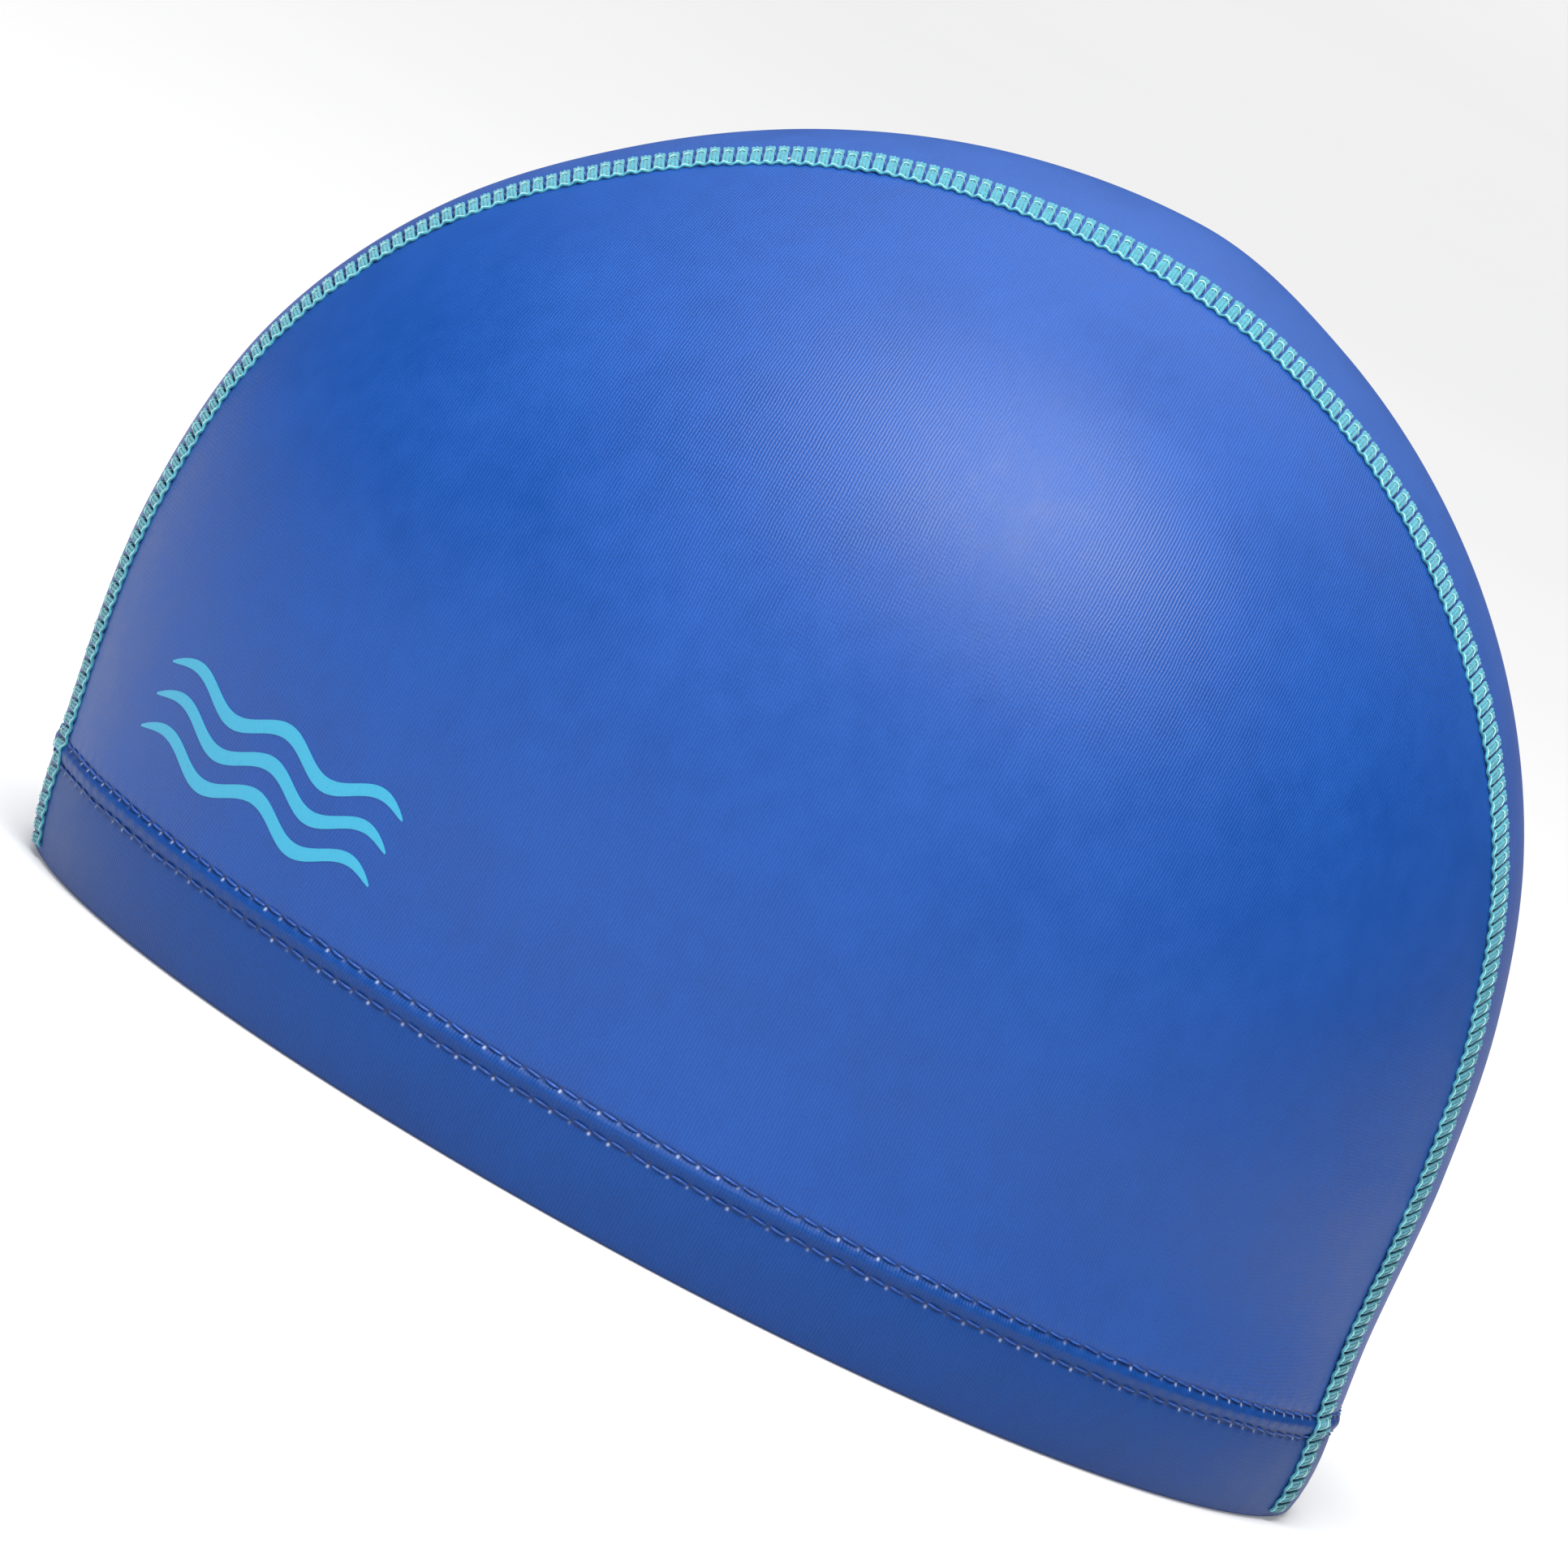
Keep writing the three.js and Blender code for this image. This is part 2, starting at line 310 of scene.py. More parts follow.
def lay_vertices(piece: bpy.types.Object, points: np.ndarray) -> None:
    """Moves a mesh's vertices to the given points."""
    piece.data.vertices.foreach_set("co", points.astype(np.float32).ravel())
    piece.data.update()


def add_grid(name: str, columns: int, rows: int) -> bpy.types.Object:
    """Adds a flat sheet of square faces that runs from 0 to 1 along X and Y.

    Args:
        name: The piece's name.
        columns: Faces along X.
        rows: Faces along Y.

    Returns:
        The sheet.
    """
    deselect_all()
    bpy.ops.mesh.primitive_grid_add(
        x_subdivisions=columns, y_subdivisions=rows, size=1.0, location=(0.5, 0.5, 0.0)
    )
    bpy.ops.object.transform_apply(location=True, rotation=True, scale=True)
    piece = bpy.context.object
    piece.name = name
    piece.data.name = name
    return piece


def set_uv(piece: bpy.types.Object, along: np.ndarray, across: np.ndarray) -> None:
    """Gives a mesh its own UV map, in metres along the cloth.

    Args:
        piece: The mesh's object.
        along: The U of each vertex.
        across: The V of each vertex.
    """
    mesh = piece.data
    for layer in list(mesh.uv_layers):
        mesh.uv_layers.remove(layer)
    layer = mesh.uv_layers.new(name=UV_NAME)
    corner = np.empty(len(mesh.loops), dtype=np.int32)
    mesh.loops.foreach_get("vertex_index", corner)
    layer.data.foreach_set("uv", np.stack([along[corner], across[corner]], axis=1).astype(np.float32).ravel())


def set_hem_run(piece: bpy.types.Object, values: np.ndarray, whole: float) -> None:
    """Gives the corners of a mesh's faces the length run along the hem, for materials to read.

    Args:
        piece: The mesh's object, with four corners a face.
        values: The length at each vertex.
        whole: The length once round, after which it starts again.
    """
    corner = np.empty(len(piece.data.loops), dtype=np.int32)
    piece.data.loops.foreach_get("vertex_index", corner)
    run = values[corner].reshape(-1, 4)
    restarts = np.ptp(run, axis=1, keepdims=True) > whole / 2
    run = np.where(restarts & (run < whole / 2), run + whole, run)
    attribute = piece.data.attributes.new(HEM_RUN, "FLOAT", "CORNER")
    attribute.data.foreach_set("value", run.astype(np.float32).ravel())


def in_edit_mode(piece: bpy.types.Object, action: Callable[[], None]) -> None:
    """Selects all of a mesh in edit mode and runs an action on it.

    Args:
        piece: The mesh's object.
        action: What is done there.
    """
    deselect_all()
    piece.select_set(True)
    bpy.context.view_layer.objects.active = piece
    bpy.ops.object.mode_set(mode="EDIT")
    bpy.ops.mesh.select_all(action="SELECT")
    action()
    bpy.ops.object.mode_set(mode="OBJECT")


def turn_outward(piece: bpy.types.Object, hub: np.ndarray) -> None:
    """Turns a sheet's faces over if most of them look at the hub."""
    mesh = piece.data
    centre = np.empty(3 * len(mesh.polygons))
    normal = np.empty(3 * len(mesh.polygons))
    mesh.polygons.foreach_get("center", centre)
    mesh.polygons.foreach_get("normal", normal)
    outward = ((centre.reshape(-1, 3) - hub) * normal.reshape(-1, 3)).sum()
    if outward < 0:
        in_edit_mode(piece, bpy.ops.mesh.flip_normals)


def apply_modifier(piece: bpy.types.Object, kind: str, **settings: object) -> None:
    """Adds a modifier to a piece and applies it.

    Args:
        piece: The object.
        kind: The modifier's type.
        **settings: The modifier's values.
    """
    deselect_all()
    piece.select_set(True)
    bpy.context.view_layer.objects.active = piece
    bpy.ops.object.modifier_add(type=kind)
    modifier = piece.modifiers[-1]
    for key, value in settings.items():
        setattr(modifier, key, value)
    bpy.ops.object.modifier_apply(modifier=modifier.name)


def smooth_faces(piece: bpy.types.Object, sharp_from: float) -> None:
    """Shades a piece smooth but for edges that turn by more than an angle in degrees."""
    deselect_all()
    piece.select_set(True)
    bpy.context.view_layer.objects.active = piece
    bpy.ops.object.shade_smooth_by_angle(angle=math.radians(sharp_from))


def dress(piece: bpy.types.Object, material: bpy.types.Material, slot: str, *nodes: str) -> None:
    """Gives a piece its finish and its place in the part.

    Args:
        piece: The piece.
        material: Its material.
        slot: The record's slot that the finish belongs to; not used.
        *nodes: The CAD nodes that it stands for.
    """
    piece.data.materials.clear()
    piece.data.materials.append(material)
    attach(piece, "root")
    if nodes:
        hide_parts(*nodes)
    LOG.info("%s: %d faces, %s", piece.name, len(piece.data.polygons), material.name)


# ---- Finishes ----


class Wiring:
    """Adds nodes to a node tree and joins them."""

    def __init__(self, tree: bpy.types.NodeTree) -> None:
        """Starts on a tree."""
        self.tree = tree

    def put(self, target: bpy.types.NodeSocket, value: object) -> None:
        """Joins a socket to another one, or sets it to a value."""
        if isinstance(value, bpy.types.NodeSocket):
            self.tree.links.new(value, target)
        else:
            target.default_value = value

    def node(self, kind: str, inputs: dict[str, object] | None = None, **settings: object) -> bpy.types.Node:
        """Adds a node.

        Args:
            kind: The node's type.
            inputs: Values or sockets for its inputs, by name.
            **settings: Its other values.

        Returns:
            The node.
        """
        node = self.tree.nodes.new(kind)
        for key, value in settings.items():
            setattr(node, key, value)
        for key, value in (inputs or {}).items():
            self.put(node.inputs[key], value)
        return node

    def math(self, operation: str, *values: object, clamp: bool = False) -> bpy.types.NodeSocket:
        """Adds a sum or another step of arithmetic.

        Args:
            operation: Its kind.
            *values: Numbers or sockets.
            clamp: Whether the result is kept from 0 to 1.

        Returns:
            The result's socket.
        """
        node = self.node("ShaderNodeMath", operation=operation, use_clamp=clamp)
        for socket, value in zip(node.inputs, values):
            self.put(socket, value)
        return node.outputs["Value"]

    def noise(self, vector: bpy.types.NodeSocket, scale: object, detail: float) -> bpy.types.NodeSocket:
        """Adds a noise from 0 to 1.

        Args:
            vector: Where it is read.
            scale: Its grains a metre.
            detail: How many finer layers it has.

        Returns:
            The noise's socket.
        """
        return self.node(
            "ShaderNodeTexNoise", {"Vector": vector, "Scale": scale, "Detail": detail}
        ).outputs["Fac"]

    def spread(self, value: object, low: object, high: object, start: object, end: object) -> bpy.types.NodeSocket:
        """Stretches a value from one range to another and keeps it there.

        Args:
            value: The value.
            low: The lower end of its range.
            high: The upper end of its range.
            start: What the lower end becomes.
            end: What the upper end becomes.

        Returns:
            The result's socket.
        """
        names = {"Value": value, "From Min": low, "From Max": high, "To Min": start, "To Max": end}
        return self.node("ShaderNodeMapRange", names).outputs["Result"]

    def blend(self, share: object, first: object, second: object, kind: str = "MIX") -> bpy.types.NodeSocket:
        """Mixes two colours.

        Args:
            share: How much of the second.
            first: The first colour.
            second: The second colour.
            kind: The way of mixing.

        Returns:
            The colour's socket.
        """
        node = self.node("ShaderNodeMix", data_type="RGBA", blend_type=kind, clamp_factor=True)
        self.put(node.inputs[0], share)
        self.put(node.inputs[6], first)
        self.put(node.inputs[7], second)
        return node.outputs[2]


class EffectGroup:
    """A shader effect that several materials share."""

    def __init__(self, name: str, inputs: dict[str, object], outputs: tuple[str, ...]) -> None:
        """Starts a group.

        Args:
            name: Its name.
            inputs: Its inputs and their values; a vector has none.
            outputs: Its outputs.
        """
        self.tree = bpy.data.node_groups.new(name, "ShaderNodeTree")
        for key, value in inputs.items():
            kind = "NodeSocketVector" if value is None else "NodeSocketFloat"
            socket = self.tree.interface.new_socket(name=key, in_out="INPUT", socket_type=kind)
            if value is not None:
                socket.default_value = value
        for key in outputs:
            self.tree.interface.new_socket(name=key, in_out="OUTPUT", socket_type="NodeSocketFloat")
        self.wiring = Wiring(self.tree)
        self.source = self.tree.nodes.new("NodeGroupInput").outputs
        self.result = self.tree.nodes.new("NodeGroupOutput").inputs

    def give(self, **values: bpy.types.NodeSocket) -> bpy.types.NodeTree:
        """Joins the outputs, by name in small letters, and hands over the finished group."""
        for key, value in values.items():
            self.tree.links.new(value, self.result[key.capitalize()])
        return self.tree


def knit_group() -> bpy.types.NodeTree:
    """Makes the fine knit: close ribs up the cloth, crossed by rows of loops."""
    group = EffectGroup("Fine knit", {"Run": None, "Ribs": 2000.0, "Rows": 1500.0}, ("Height", "Shade"))
    wiring, source = group.wiring, group.source
    parts = wiring.node("ShaderNodeSeparateXYZ", {"Vector": source["Run"]}).outputs
    drift = wiring.math("MULTIPLY", wiring.noise(source["Run"], 160.0, 2.0), 1.6)
    rib_turn = wiring.math("ADD", wiring.math("MULTIPLY", parts["X"], source["Ribs"]), drift)
    row_turn = wiring.math("ADD", wiring.math("MULTIPLY", parts["Y"], source["Rows"]), drift)
    ribs, rows = (
        wiring.math("MULTIPLY_ADD", wiring.math("SINE", wiring.math("MULTIPLY", turn, math.tau)), 0.5, 0.5)
        for turn in (rib_turn, row_turn)
    )
    grain = wiring.noise(source["Run"], 2600.0, 3.0)
    loops = wiring.math("MULTIPLY_ADD", rows, 0.35, 0.65)
    height = wiring.math("MULTIPLY_ADD", grain, 0.9, wiring.math("MULTIPLY", ribs, loops))
    shade = wiring.math("MULTIPLY_ADD", grain, 0.7, wiring.math("MULTIPLY", ribs, 0.3))
    return group.give(height=height, shade=shade)


def clouds_group() -> bpy.types.NodeTree:
    """Makes the soft cloudy unevenness of dyed cloth."""
    group = EffectGroup("Dye clouds", {"Place": None, "Size": 45.0}, ("Shade",))
    wiring, source = group.wiring, group.source
    broad = wiring.noise(source["Place"], source["Size"], 2.0)
    close = wiring.noise(source["Place"], wiring.math("MULTIPLY", source["Size"], 6.0), 3.0)
    return group.give(shade=wiring.math("MULTIPLY_ADD", close, 0.45, wiring.math("MULTIPLY", broad, 0.55)))


def specks_group() -> bpy.types.NodeTree:
    """Makes a few tiny specks of lint."""
    group = EffectGroup("Lint specks", {"Place": None, "Number": 55.0, "Radius": 0.00035}, ("Mask",))
    wiring, source = group.wiring, group.source
    cells = wiring.node("ShaderNodeTexVoronoi", {"Vector": source["Place"], "Scale": source["Number"]})
    distance = wiring.math("DIVIDE", cells.outputs["Distance"], source["Number"])
    near = wiring.math("LESS_THAN", distance, source["Radius"])
    pick = wiring.node("ShaderNodeSeparateColor", {"Color": cells.outputs["Color"]}).outputs["Red"]
    chosen = wiring.math("GREATER_THAN", pick, 0.8)
    return group.give(mask=wiring.math("MULTIPLY", near, chosen))


def twist_group() -> bpy.types.NodeTree:
    """Makes the fuzz and twist of thread."""
    group = EffectGroup("Thread fuzz", {"Place": None, "Grain": 4200.0}, ("Height", "Shade"))
    wiring, source = group.wiring, group.source
    fibres = wiring.noise(source["Place"], source["Grain"], 3.0)
    tufts = wiring.noise(source["Place"], wiring.math("MULTIPLY", source["Grain"], 0.3), 2.0)
    height = wiring.math("MULTIPLY_ADD", fibres, 0.7, wiring.math("MULTIPLY", tufts, 0.6))
    shade = wiring.spread(height, 0.45, 0.85, 0.0, 1.0)
    return group.give(height=height, shade=shade)


@dataclass(frozen=True)
class Effects:
    """The effects that the finishes share."""

    knit: bpy.types.NodeTree = field(default_factory=knit_group)
    clouds: bpy.types.NodeTree = field(default_factory=clouds_group)
    specks: bpy.types.NodeTree = field(default_factory=specks_group)
    twist: bpy.types.NodeTree = field(default_factory=twist_group)


def start_material(name: str) -> tuple[bpy.types.Material, Wiring, bpy.types.Node]:
    """Starts a material with one Principled BSDF.

    Args:
        name: The material's name.

    Returns:
        The material, the wiring of its nodes, and the shader.
    """
    material = bpy.data.materials.new(name)
    material.use_nodes = True
    material.node_tree.nodes.clear()
    wiring = Wiring(material.node_tree)
    shader = wiring.node("ShaderNodeBsdfPrincipled")
    end = wiring.node("ShaderNodeOutputMaterial")
    wiring.put(end.inputs["Surface"], shader.outputs["BSDF"])
    return material, wiring, shader


@dataclass(frozen=True)
class ClothFinish:
    """Smooth coated stretch cloth with a fine knit and a soft sheen."""

    name: str
    light: tuple[float, float, float, float]
    dark: tuple[float, float, float, float]
    roughness: float = 0.45
    gloss: float = 0.30
    sheen: float = 0.0
    sheen_roughness: float = 0.45
    sheen_tint: tuple[float, float, float, float] = (0.95, 0.80, 0.90, 1.0)
    relief: float = 0.00006
    pucker: float = 0.0001
    row_height: float = 0.0161
    row_pitch: float = 0.003

    def material(self, effects: Effects) -> bpy.types.Material:
        """Makes the material from the shared effects."""
        material, wiring, shader = start_material(self.name)
        run = wiring.node("ShaderNodeUVMap", uv_map=UV_NAME).outputs["UV"]
        place = wiring.node("ShaderNodeTexCoord").outputs["Object"]
        knit = wiring.node("ShaderNodeGroup", node_tree=effects.knit, inputs=None)
        wiring.put(knit.inputs["Run"], run)
        clouds = wiring.node("ShaderNodeGroup", node_tree=effects.clouds)
        wiring.put(clouds.inputs["Place"], place)
        specks = wiring.node("ShaderNodeGroup", node_tree=effects.specks)
        wiring.put(specks.inputs["Place"], place)
        shade = wiring.math("MULTIPLY_ADD", knit.outputs["Shade"], 1.6, clouds.outputs["Shade"])
        colour = wiring.blend(wiring.spread(shade, 0.9, 1.7, 0.0, 1.0), self.dark, self.light)
        # Painted shade: a dark line under both stitch rows, darkest at the needle holes.
        colour = wiring.blend(self.painted_row_shade(wiring, place), colour, (0.012, 0.03, 0.11, 1.0))
        # Painted highlight: small pale points just under the needle holes of the stitch rows.
        colour = wiring.blend(self.painted_hole_highlights(wiring, place), colour, (0.50, 0.58, 0.80, 1.0))
        colour = wiring.blend(wiring.math("MULTIPLY", specks.outputs["Mask"], 0.8), colour, (0.8, 0.85, 0.95, 1.0))
        wiring.put(shader.inputs["Base Color"], colour)
        rough = wiring.spread(clouds.outputs["Shade"], 0.3, 0.7, self.roughness - 0.05, self.roughness + 0.06)
        wiring.put(shader.inputs["Roughness"], rough)
        shader.inputs["Sheen Weight"].default_value = self.sheen
        shader.inputs["Sheen Roughness"].default_value = self.sheen_roughness
        shader.inputs["Sheen Tint"].default_value = self.sheen_tint
        shader.inputs["Specular IOR Level"].default_value = self.gloss
        weave = wiring.node(
            "ShaderNodeBump", {"Strength": 0.55, "Distance": self.relief, "Height": knit.outputs["Height"]}
        )
        pull = wiring.node(
            "ShaderNodeBump",
            {"Strength": 1.0, "Distance": self.pucker, "Height": self.pulls(wiring, place)},
        )
        wiring.put(pull.inputs["Normal"], weave.outputs["Normal"])
        wiring.put(shader.inputs["Normal"], pull.outputs["Normal"])
        return material

    def row_wave(self, wiring: Wiring) -> bpy.types.NodeSocket:
        """Makes a wave along the hem that peaks at every needle hole."""
        run = wiring.node("ShaderNodeAttribute", attribute_name=HEM_RUN).outputs["Fac"]
        turn = wiring.math("COSINE", wiring.math("MULTIPLY", run, math.tau / self.row_pitch))
        return wiring.math("MULTIPLY_ADD", turn, 0.5, 0.5)

    def pulls(self, wiring: Wiring, place: bpy.types.NodeSocket) -> bpy.types.NodeSocket:
        """Makes the small puckers that the upper stitch row pulls into the cloth above it."""
        height = wiring.node("ShaderNodeSeparateXYZ", {"Vector": place}).outputs["Z"]
        above = wiring.spread(height, self.row_height, self.row_height + 0.0035, 1.0, 0.0)
        from_below = wiring.spread(height, self.row_height - 0.0045, self.row_height - 0.003, 0.0, 1.0)
        reach = wiring.math("MULTIPLY", wiring.math("MULTIPLY", above, above), from_below)
        return wiring.math("MULTIPLY", reach, self.row_wave(wiring))

    def row_mask(
        self, wiring: Wiring, place: bpy.types.NodeSocket, below: float, half_width: float
    ) -> bpy.types.NodeSocket:
        """Makes a line along both stitch rows.

        Args:
            wiring: The material's wiring.
            place: The place on the cap.
            below: How far under the row's middle the line runs.
            half_width: How far the line reaches up and down.

        Returns:
            The line's mask.
        """
        height = wiring.node("ShaderNodeSeparateXYZ", {"Vector": place}).outputs["Z"]
        near = [
            wiring.spread(
                wiring.math("ABSOLUTE", wiring.math("SUBTRACT", height, row - below)), 0.0, half_width, 1.0, 0.0
            )
            for row in (self.row_height, self.row_height - 0.0031)
        ]
        return wiring.math("MAXIMUM", *near)

    def painted_row_shade(self, wiring: Wiring, place: bpy.types.NodeSocket) -> bpy.types.NodeSocket:
        """Makes painted shade: a dark line under both stitch rows, darkest at the needle holes, where shade falls.
        """
        sharp = wiring.math("POWER", self.row_wave(wiring), 6.0)
        strength = wiring.math("MULTIPLY_ADD", sharp, 0.3, 0.7)
        return wiring.math("MULTIPLY", self.row_mask(wiring, place, 0.00005, 0.0006), strength)

    def painted_hole_highlights(self, wiring: Wiring, place: bpy.types.NodeSocket) -> bpy.types.NodeSocket:
        """Makes painted highlights: small pale points just under the needle holes of both stitch rows."""
        sharp = wiring.math("POWER", self.row_wave(wiring), 24.0)
        patchy = wiring.spread(wiring.noise(place, 260.0, 2.0), 0.40, 0.62, 0.05, 0.85)
        line = wiring.math("MULTIPLY", self.row_mask(wiring, place, 0.00042, 0.00036), sharp)
        return wiring.math("MULTIPLY", line, patchy)


@dataclass(frozen=True)
class ThreadFinish:
    """Thread with the flecked look of its twisted filaments."""

    name: str
    light: tuple[float, float, float, float]
    dark: tuple[float, float, float, float]
    roughness: float = 0.7
    sheen: float = 0.3
    relief: float = 0.00012
    grain: float = 4200.0

    def material(self, effects: Effects) -> bpy.types.Material:
        """Makes the material from the shared effects."""
        material, wiring, shader = start_material(self.name)
        place = wiring.node("ShaderNodeTexCoord").outputs["Object"]
        fuzz = wiring.node("ShaderNodeGroup", node_tree=effects.twist)
        wiring.put(fuzz.inputs["Place"], place)
        wiring.put(fuzz.inputs["Grain"], self.grain)
        wiring.put(shader.inputs["Base Color"], wiring.blend(fuzz.outputs["Shade"], self.dark, self.light))
        rough = wiring.spread(fuzz.outputs["Shade"], 0.0, 1.0, self.roughness + 0.08, self.roughness - 0.08)
        wiring.put(shader.inputs["Roughness"], rough)
        shader.inputs["Sheen Weight"].default_value = self.sheen
        bump = wiring.node(
            "ShaderNodeBump", {"Strength": 0.8, "Distance": self.relief, "Height": fuzz.outputs["Height"]}
        )
        wiring.put(shader.inputs["Normal"], bump.outputs["Normal"])
        return material


@dataclass(frozen=True)
class InkFinish:
    """Printed ink that lets a little of the cloth's grain through."""

    name: str = "wave_ink"
    colour: tuple[float, float, float, float] = (0.033, 0.37, 0.57, 1.0)
    worn: tuple[float, float, float, float] = (0.028, 0.3, 0.55, 1.0)

    def material(self, effects: Effects) -> bpy.types.Material:
        """Makes the material from the shared effects."""
        material, wiring, shader = start_material(self.name)
        place = wiring.node("ShaderNodeTexCoord").outputs["Object"]
        knit = wiring.node("ShaderNodeGroup", node_tree=effects.knit)
        wiring.put(knit.inputs["Run"], wiring.node("ShaderNodeUVMap", uv_map=UV_NAME).outputs["UV"])
        worn = wiring.spread(wiring.noise(place, 1800.0, 3.0), 0.58, 0.75, 0.0, 0.7)
        wiring.put(shader.inputs["Base Color"], wiring.blend(worn, self.colour, self.worn))
        wiring.put(shader.inputs["Roughness"], wiring.spread(worn, 0.0, 1.0, 0.42, 0.6))
        bump = wiring.node("ShaderNodeBump", {"Strength": 0.4, "Distance": 0.00005})
        wiring.put(bump.inputs["Height"], knit.outputs["Height"])
        wiring.put(shader.inputs["Normal"], bump.outputs["Normal"])
        return material


SIDE_CLOTH = ClothFinish("side_cloth", (0.0065, 0.077, 0.365, 1.0), (0.003, 0.049, 0.25, 1.0), gloss=0.40)
CENTRE_CLOTH = ClothFinish(
    "centre_cloth", (0.016, 0.088, 0.36, 1.0), (0.010, 0.062, 0.27, 1.0), roughness=0.5, gloss=0.35, sheen=0.05
)
# The hem's cloth is the side panels' cloth painted about a quarter darker: painted shade on the lower band.
HEM_CLOTH_PAINTED_SHADE = ClothFinish("hem_cloth", (0.005, 0.060, 0.275, 1.0), (0.003, 0.040, 0.195, 1.0), gloss=0.25)
SEAM_THREAD = ThreadFinish("seam_thread", (0.058, 0.39, 0.48, 1.0), (0.018, 0.21, 0.29, 1.0))
PALE_THREAD = ThreadFinish(
    "pale_thread", (0.50, 0.78, 0.76, 1.0), (0.28, 0.60, 0.60, 1.0), roughness=0.5, relief=0.00006
)
HEM_THREAD = ThreadFinish(
    "hem_thread", (0.020, 0.115, 0.50, 1.0), (0.006, 0.035, 0.17, 1.0), roughness=0.5, sheen=0.0, relief=0.00006
)


# ---- The cap's pieces ----


@dataclass(frozen=True)
class Cloth:
    """Sizes that all the cloth pieces share."""

    thickness: float = 0.0012
    joint_gap: float = 0.0001
    joint_dip: float = 0.00035
    joint_dip_width: float = 0.0009
    join_height: float = 0.0161
    row_dip: float = 0.00015
    row_dip_width: float = 0.0006
    hem_top: float = 0.0169

    def dips(self, points: np.ndarray, from_seam: np.ndarray) -> np.ndarray:
        """Gives how far the cloth dips at the seams and at the upper stitch row.

        Args:
            points: Places on the cloth, one a row.
            from_seam: Their distance from the nearest seam.

        Returns:
            The lift of each place, which is negative.
        """
        seam = self.joint_dip * bell(from_seam, self.joint_dip_width)
        row = self.row_dip * bell(points[:, 2] - self.join_height, self.row_dip_width)
        return -np.maximum(seam, row)


def hem_run_of(dome: Dome, azimuth: np.ndarray, height: float) -> tuple[np.ndarray, float]:
    """Gives the length run along the hem, from the nape round by the wearer's right.

    Args:
        dome: The dome.
        azimuth: The azimuths, in radians.
        height: The height of the line that is measured.

    Returns:
        The lengths, and the length once round.
    """
    around = np.linspace(-math.pi, math.pi, 721)
    length = run_length(dome.point(dome.at_height(around, np.full(around.shape, height))))
    return np.interp(azimuth, around, length), float(length[-1])


@dataclass
class SidePanel:
    """One of the two D-shaped side panels, on its straight edge."""

    dome: Dome
    cloth: Cloth
    side: Side
    columns: int = 190
    rows: int = 120
    fore_corner: float = math.radians(50)
    aft_corner: float = math.radians(135)

    @property
    def name(self) -> str:
        """The piece's name, with its side."""
        return f"{self.side.name.lower()}_panel_cloth"

    def directions(self, along: np.ndarray, up: np.ndarray) -> np.ndarray:
        """Blends the panel's inside from its four edges.

        Args:
            along: Shares of the way from the front to the back.
            up: Shares of the way from the hem to the top.

        Returns:
            Unit directions from the hub for the left panel, one a row.
        """
        dome, offset = self.dome, self.cloth.joint_gap / 2

        def seam_at(station: np.ndarray) -> np.ndarray:
            """Gives the panel's seam edge at stations."""
            return dome.at_station(station, dome.strip_reach(station) + offset)

        start, end = dome.station_range(1.0, offset, self.cloth.join_height)
        corners = [seam_at(place) for place in (start, end)]
        first, last = (np.arctan2(corner[:, 0], -corner[:, 1]) for corner in corners)

        def below(share: np.ndarray) -> np.ndarray:
            """Gives the panel's lower edge."""
            return dome.at_height(lerp(first, last, share), np.full(share.shape, self.cloth.join_height))

        edge_along, along_index = np.unique(along.round(7), return_inverse=True)
        edge_up, up_index = np.unique(up.round(7), return_inverse=True)
        low = below(edge_along)[along_index]
        top = seam_at(lerp(self.fore_corner, self.aft_corner, edge_along))[along_index]
        ahead = seam_at(lerp(start, self.fore_corner, edge_up))[up_index]
        behind = seam_at(lerp(end, self.aft_corner, edge_up))[up_index]
        tops = seam_at(np.array([self.fore_corner, self.aft_corner]))
        lows = below(np.array([0.0, 1.0]))
        a, u = along[:, None], up[:, None]
        mixed = low * (1 - u) + top * u + ahead * (1 - a) + behind * a
        mixed -= (lows[0] * (1 - a) + lows[1] * a) * (1 - u) + (tops[0] * (1 - a) + tops[1] * a) * u
        return unit_rows(mixed)

    def build(self, material: bpy.types.Material) -> bpy.types.Object:
        """Lays the panel on the dome and gives it its wall."""
        piece = add_grid(self.name, self.columns, self.rows)
        share = vertices_of(piece)
        direction = self.directions(share[:, 0], share[:, 1])
        station = np.arctan2(direction[:, 2], -direction[:, 1])
        flat = self.dome.point(direction)
        from_seam = flat[:, 0] - self.dome.strip_reach(station)
        azimuth = np.arctan2(direction[:, 0], -direction[:, 1])
        turn = np.arccos(np.clip(direction[:, 0], -1.0, 1.0))
        bearing = np.arctan2(direction[:, 2], direction[:, 1])
        radius = (self.dome.length + self.dome.height) / 4
        points = self.dome.lifted(direction, self.cloth.dips(flat, from_seam))
        points[:, 0] *= self.side.value
        lay_vertices(piece, points)
        set_uv(piece, radius * turn * np.cos(bearing), radius * turn * np.sin(bearing))
        set_hem_run(piece, *hem_run_of(self.dome, azimuth, self.cloth.join_height))
        turn_outward(piece, np.array([0.0, self.dome.setback, self.dome.waist]))
        apply_modifier(piece, "SOLIDIFY", thickness=self.cloth.thickness, offset=-1.0)
        smooth_faces(piece, 50.0)
        dress(piece, material, "side_cloth", f"{self.side.name.lower()}_panel")
        return piece


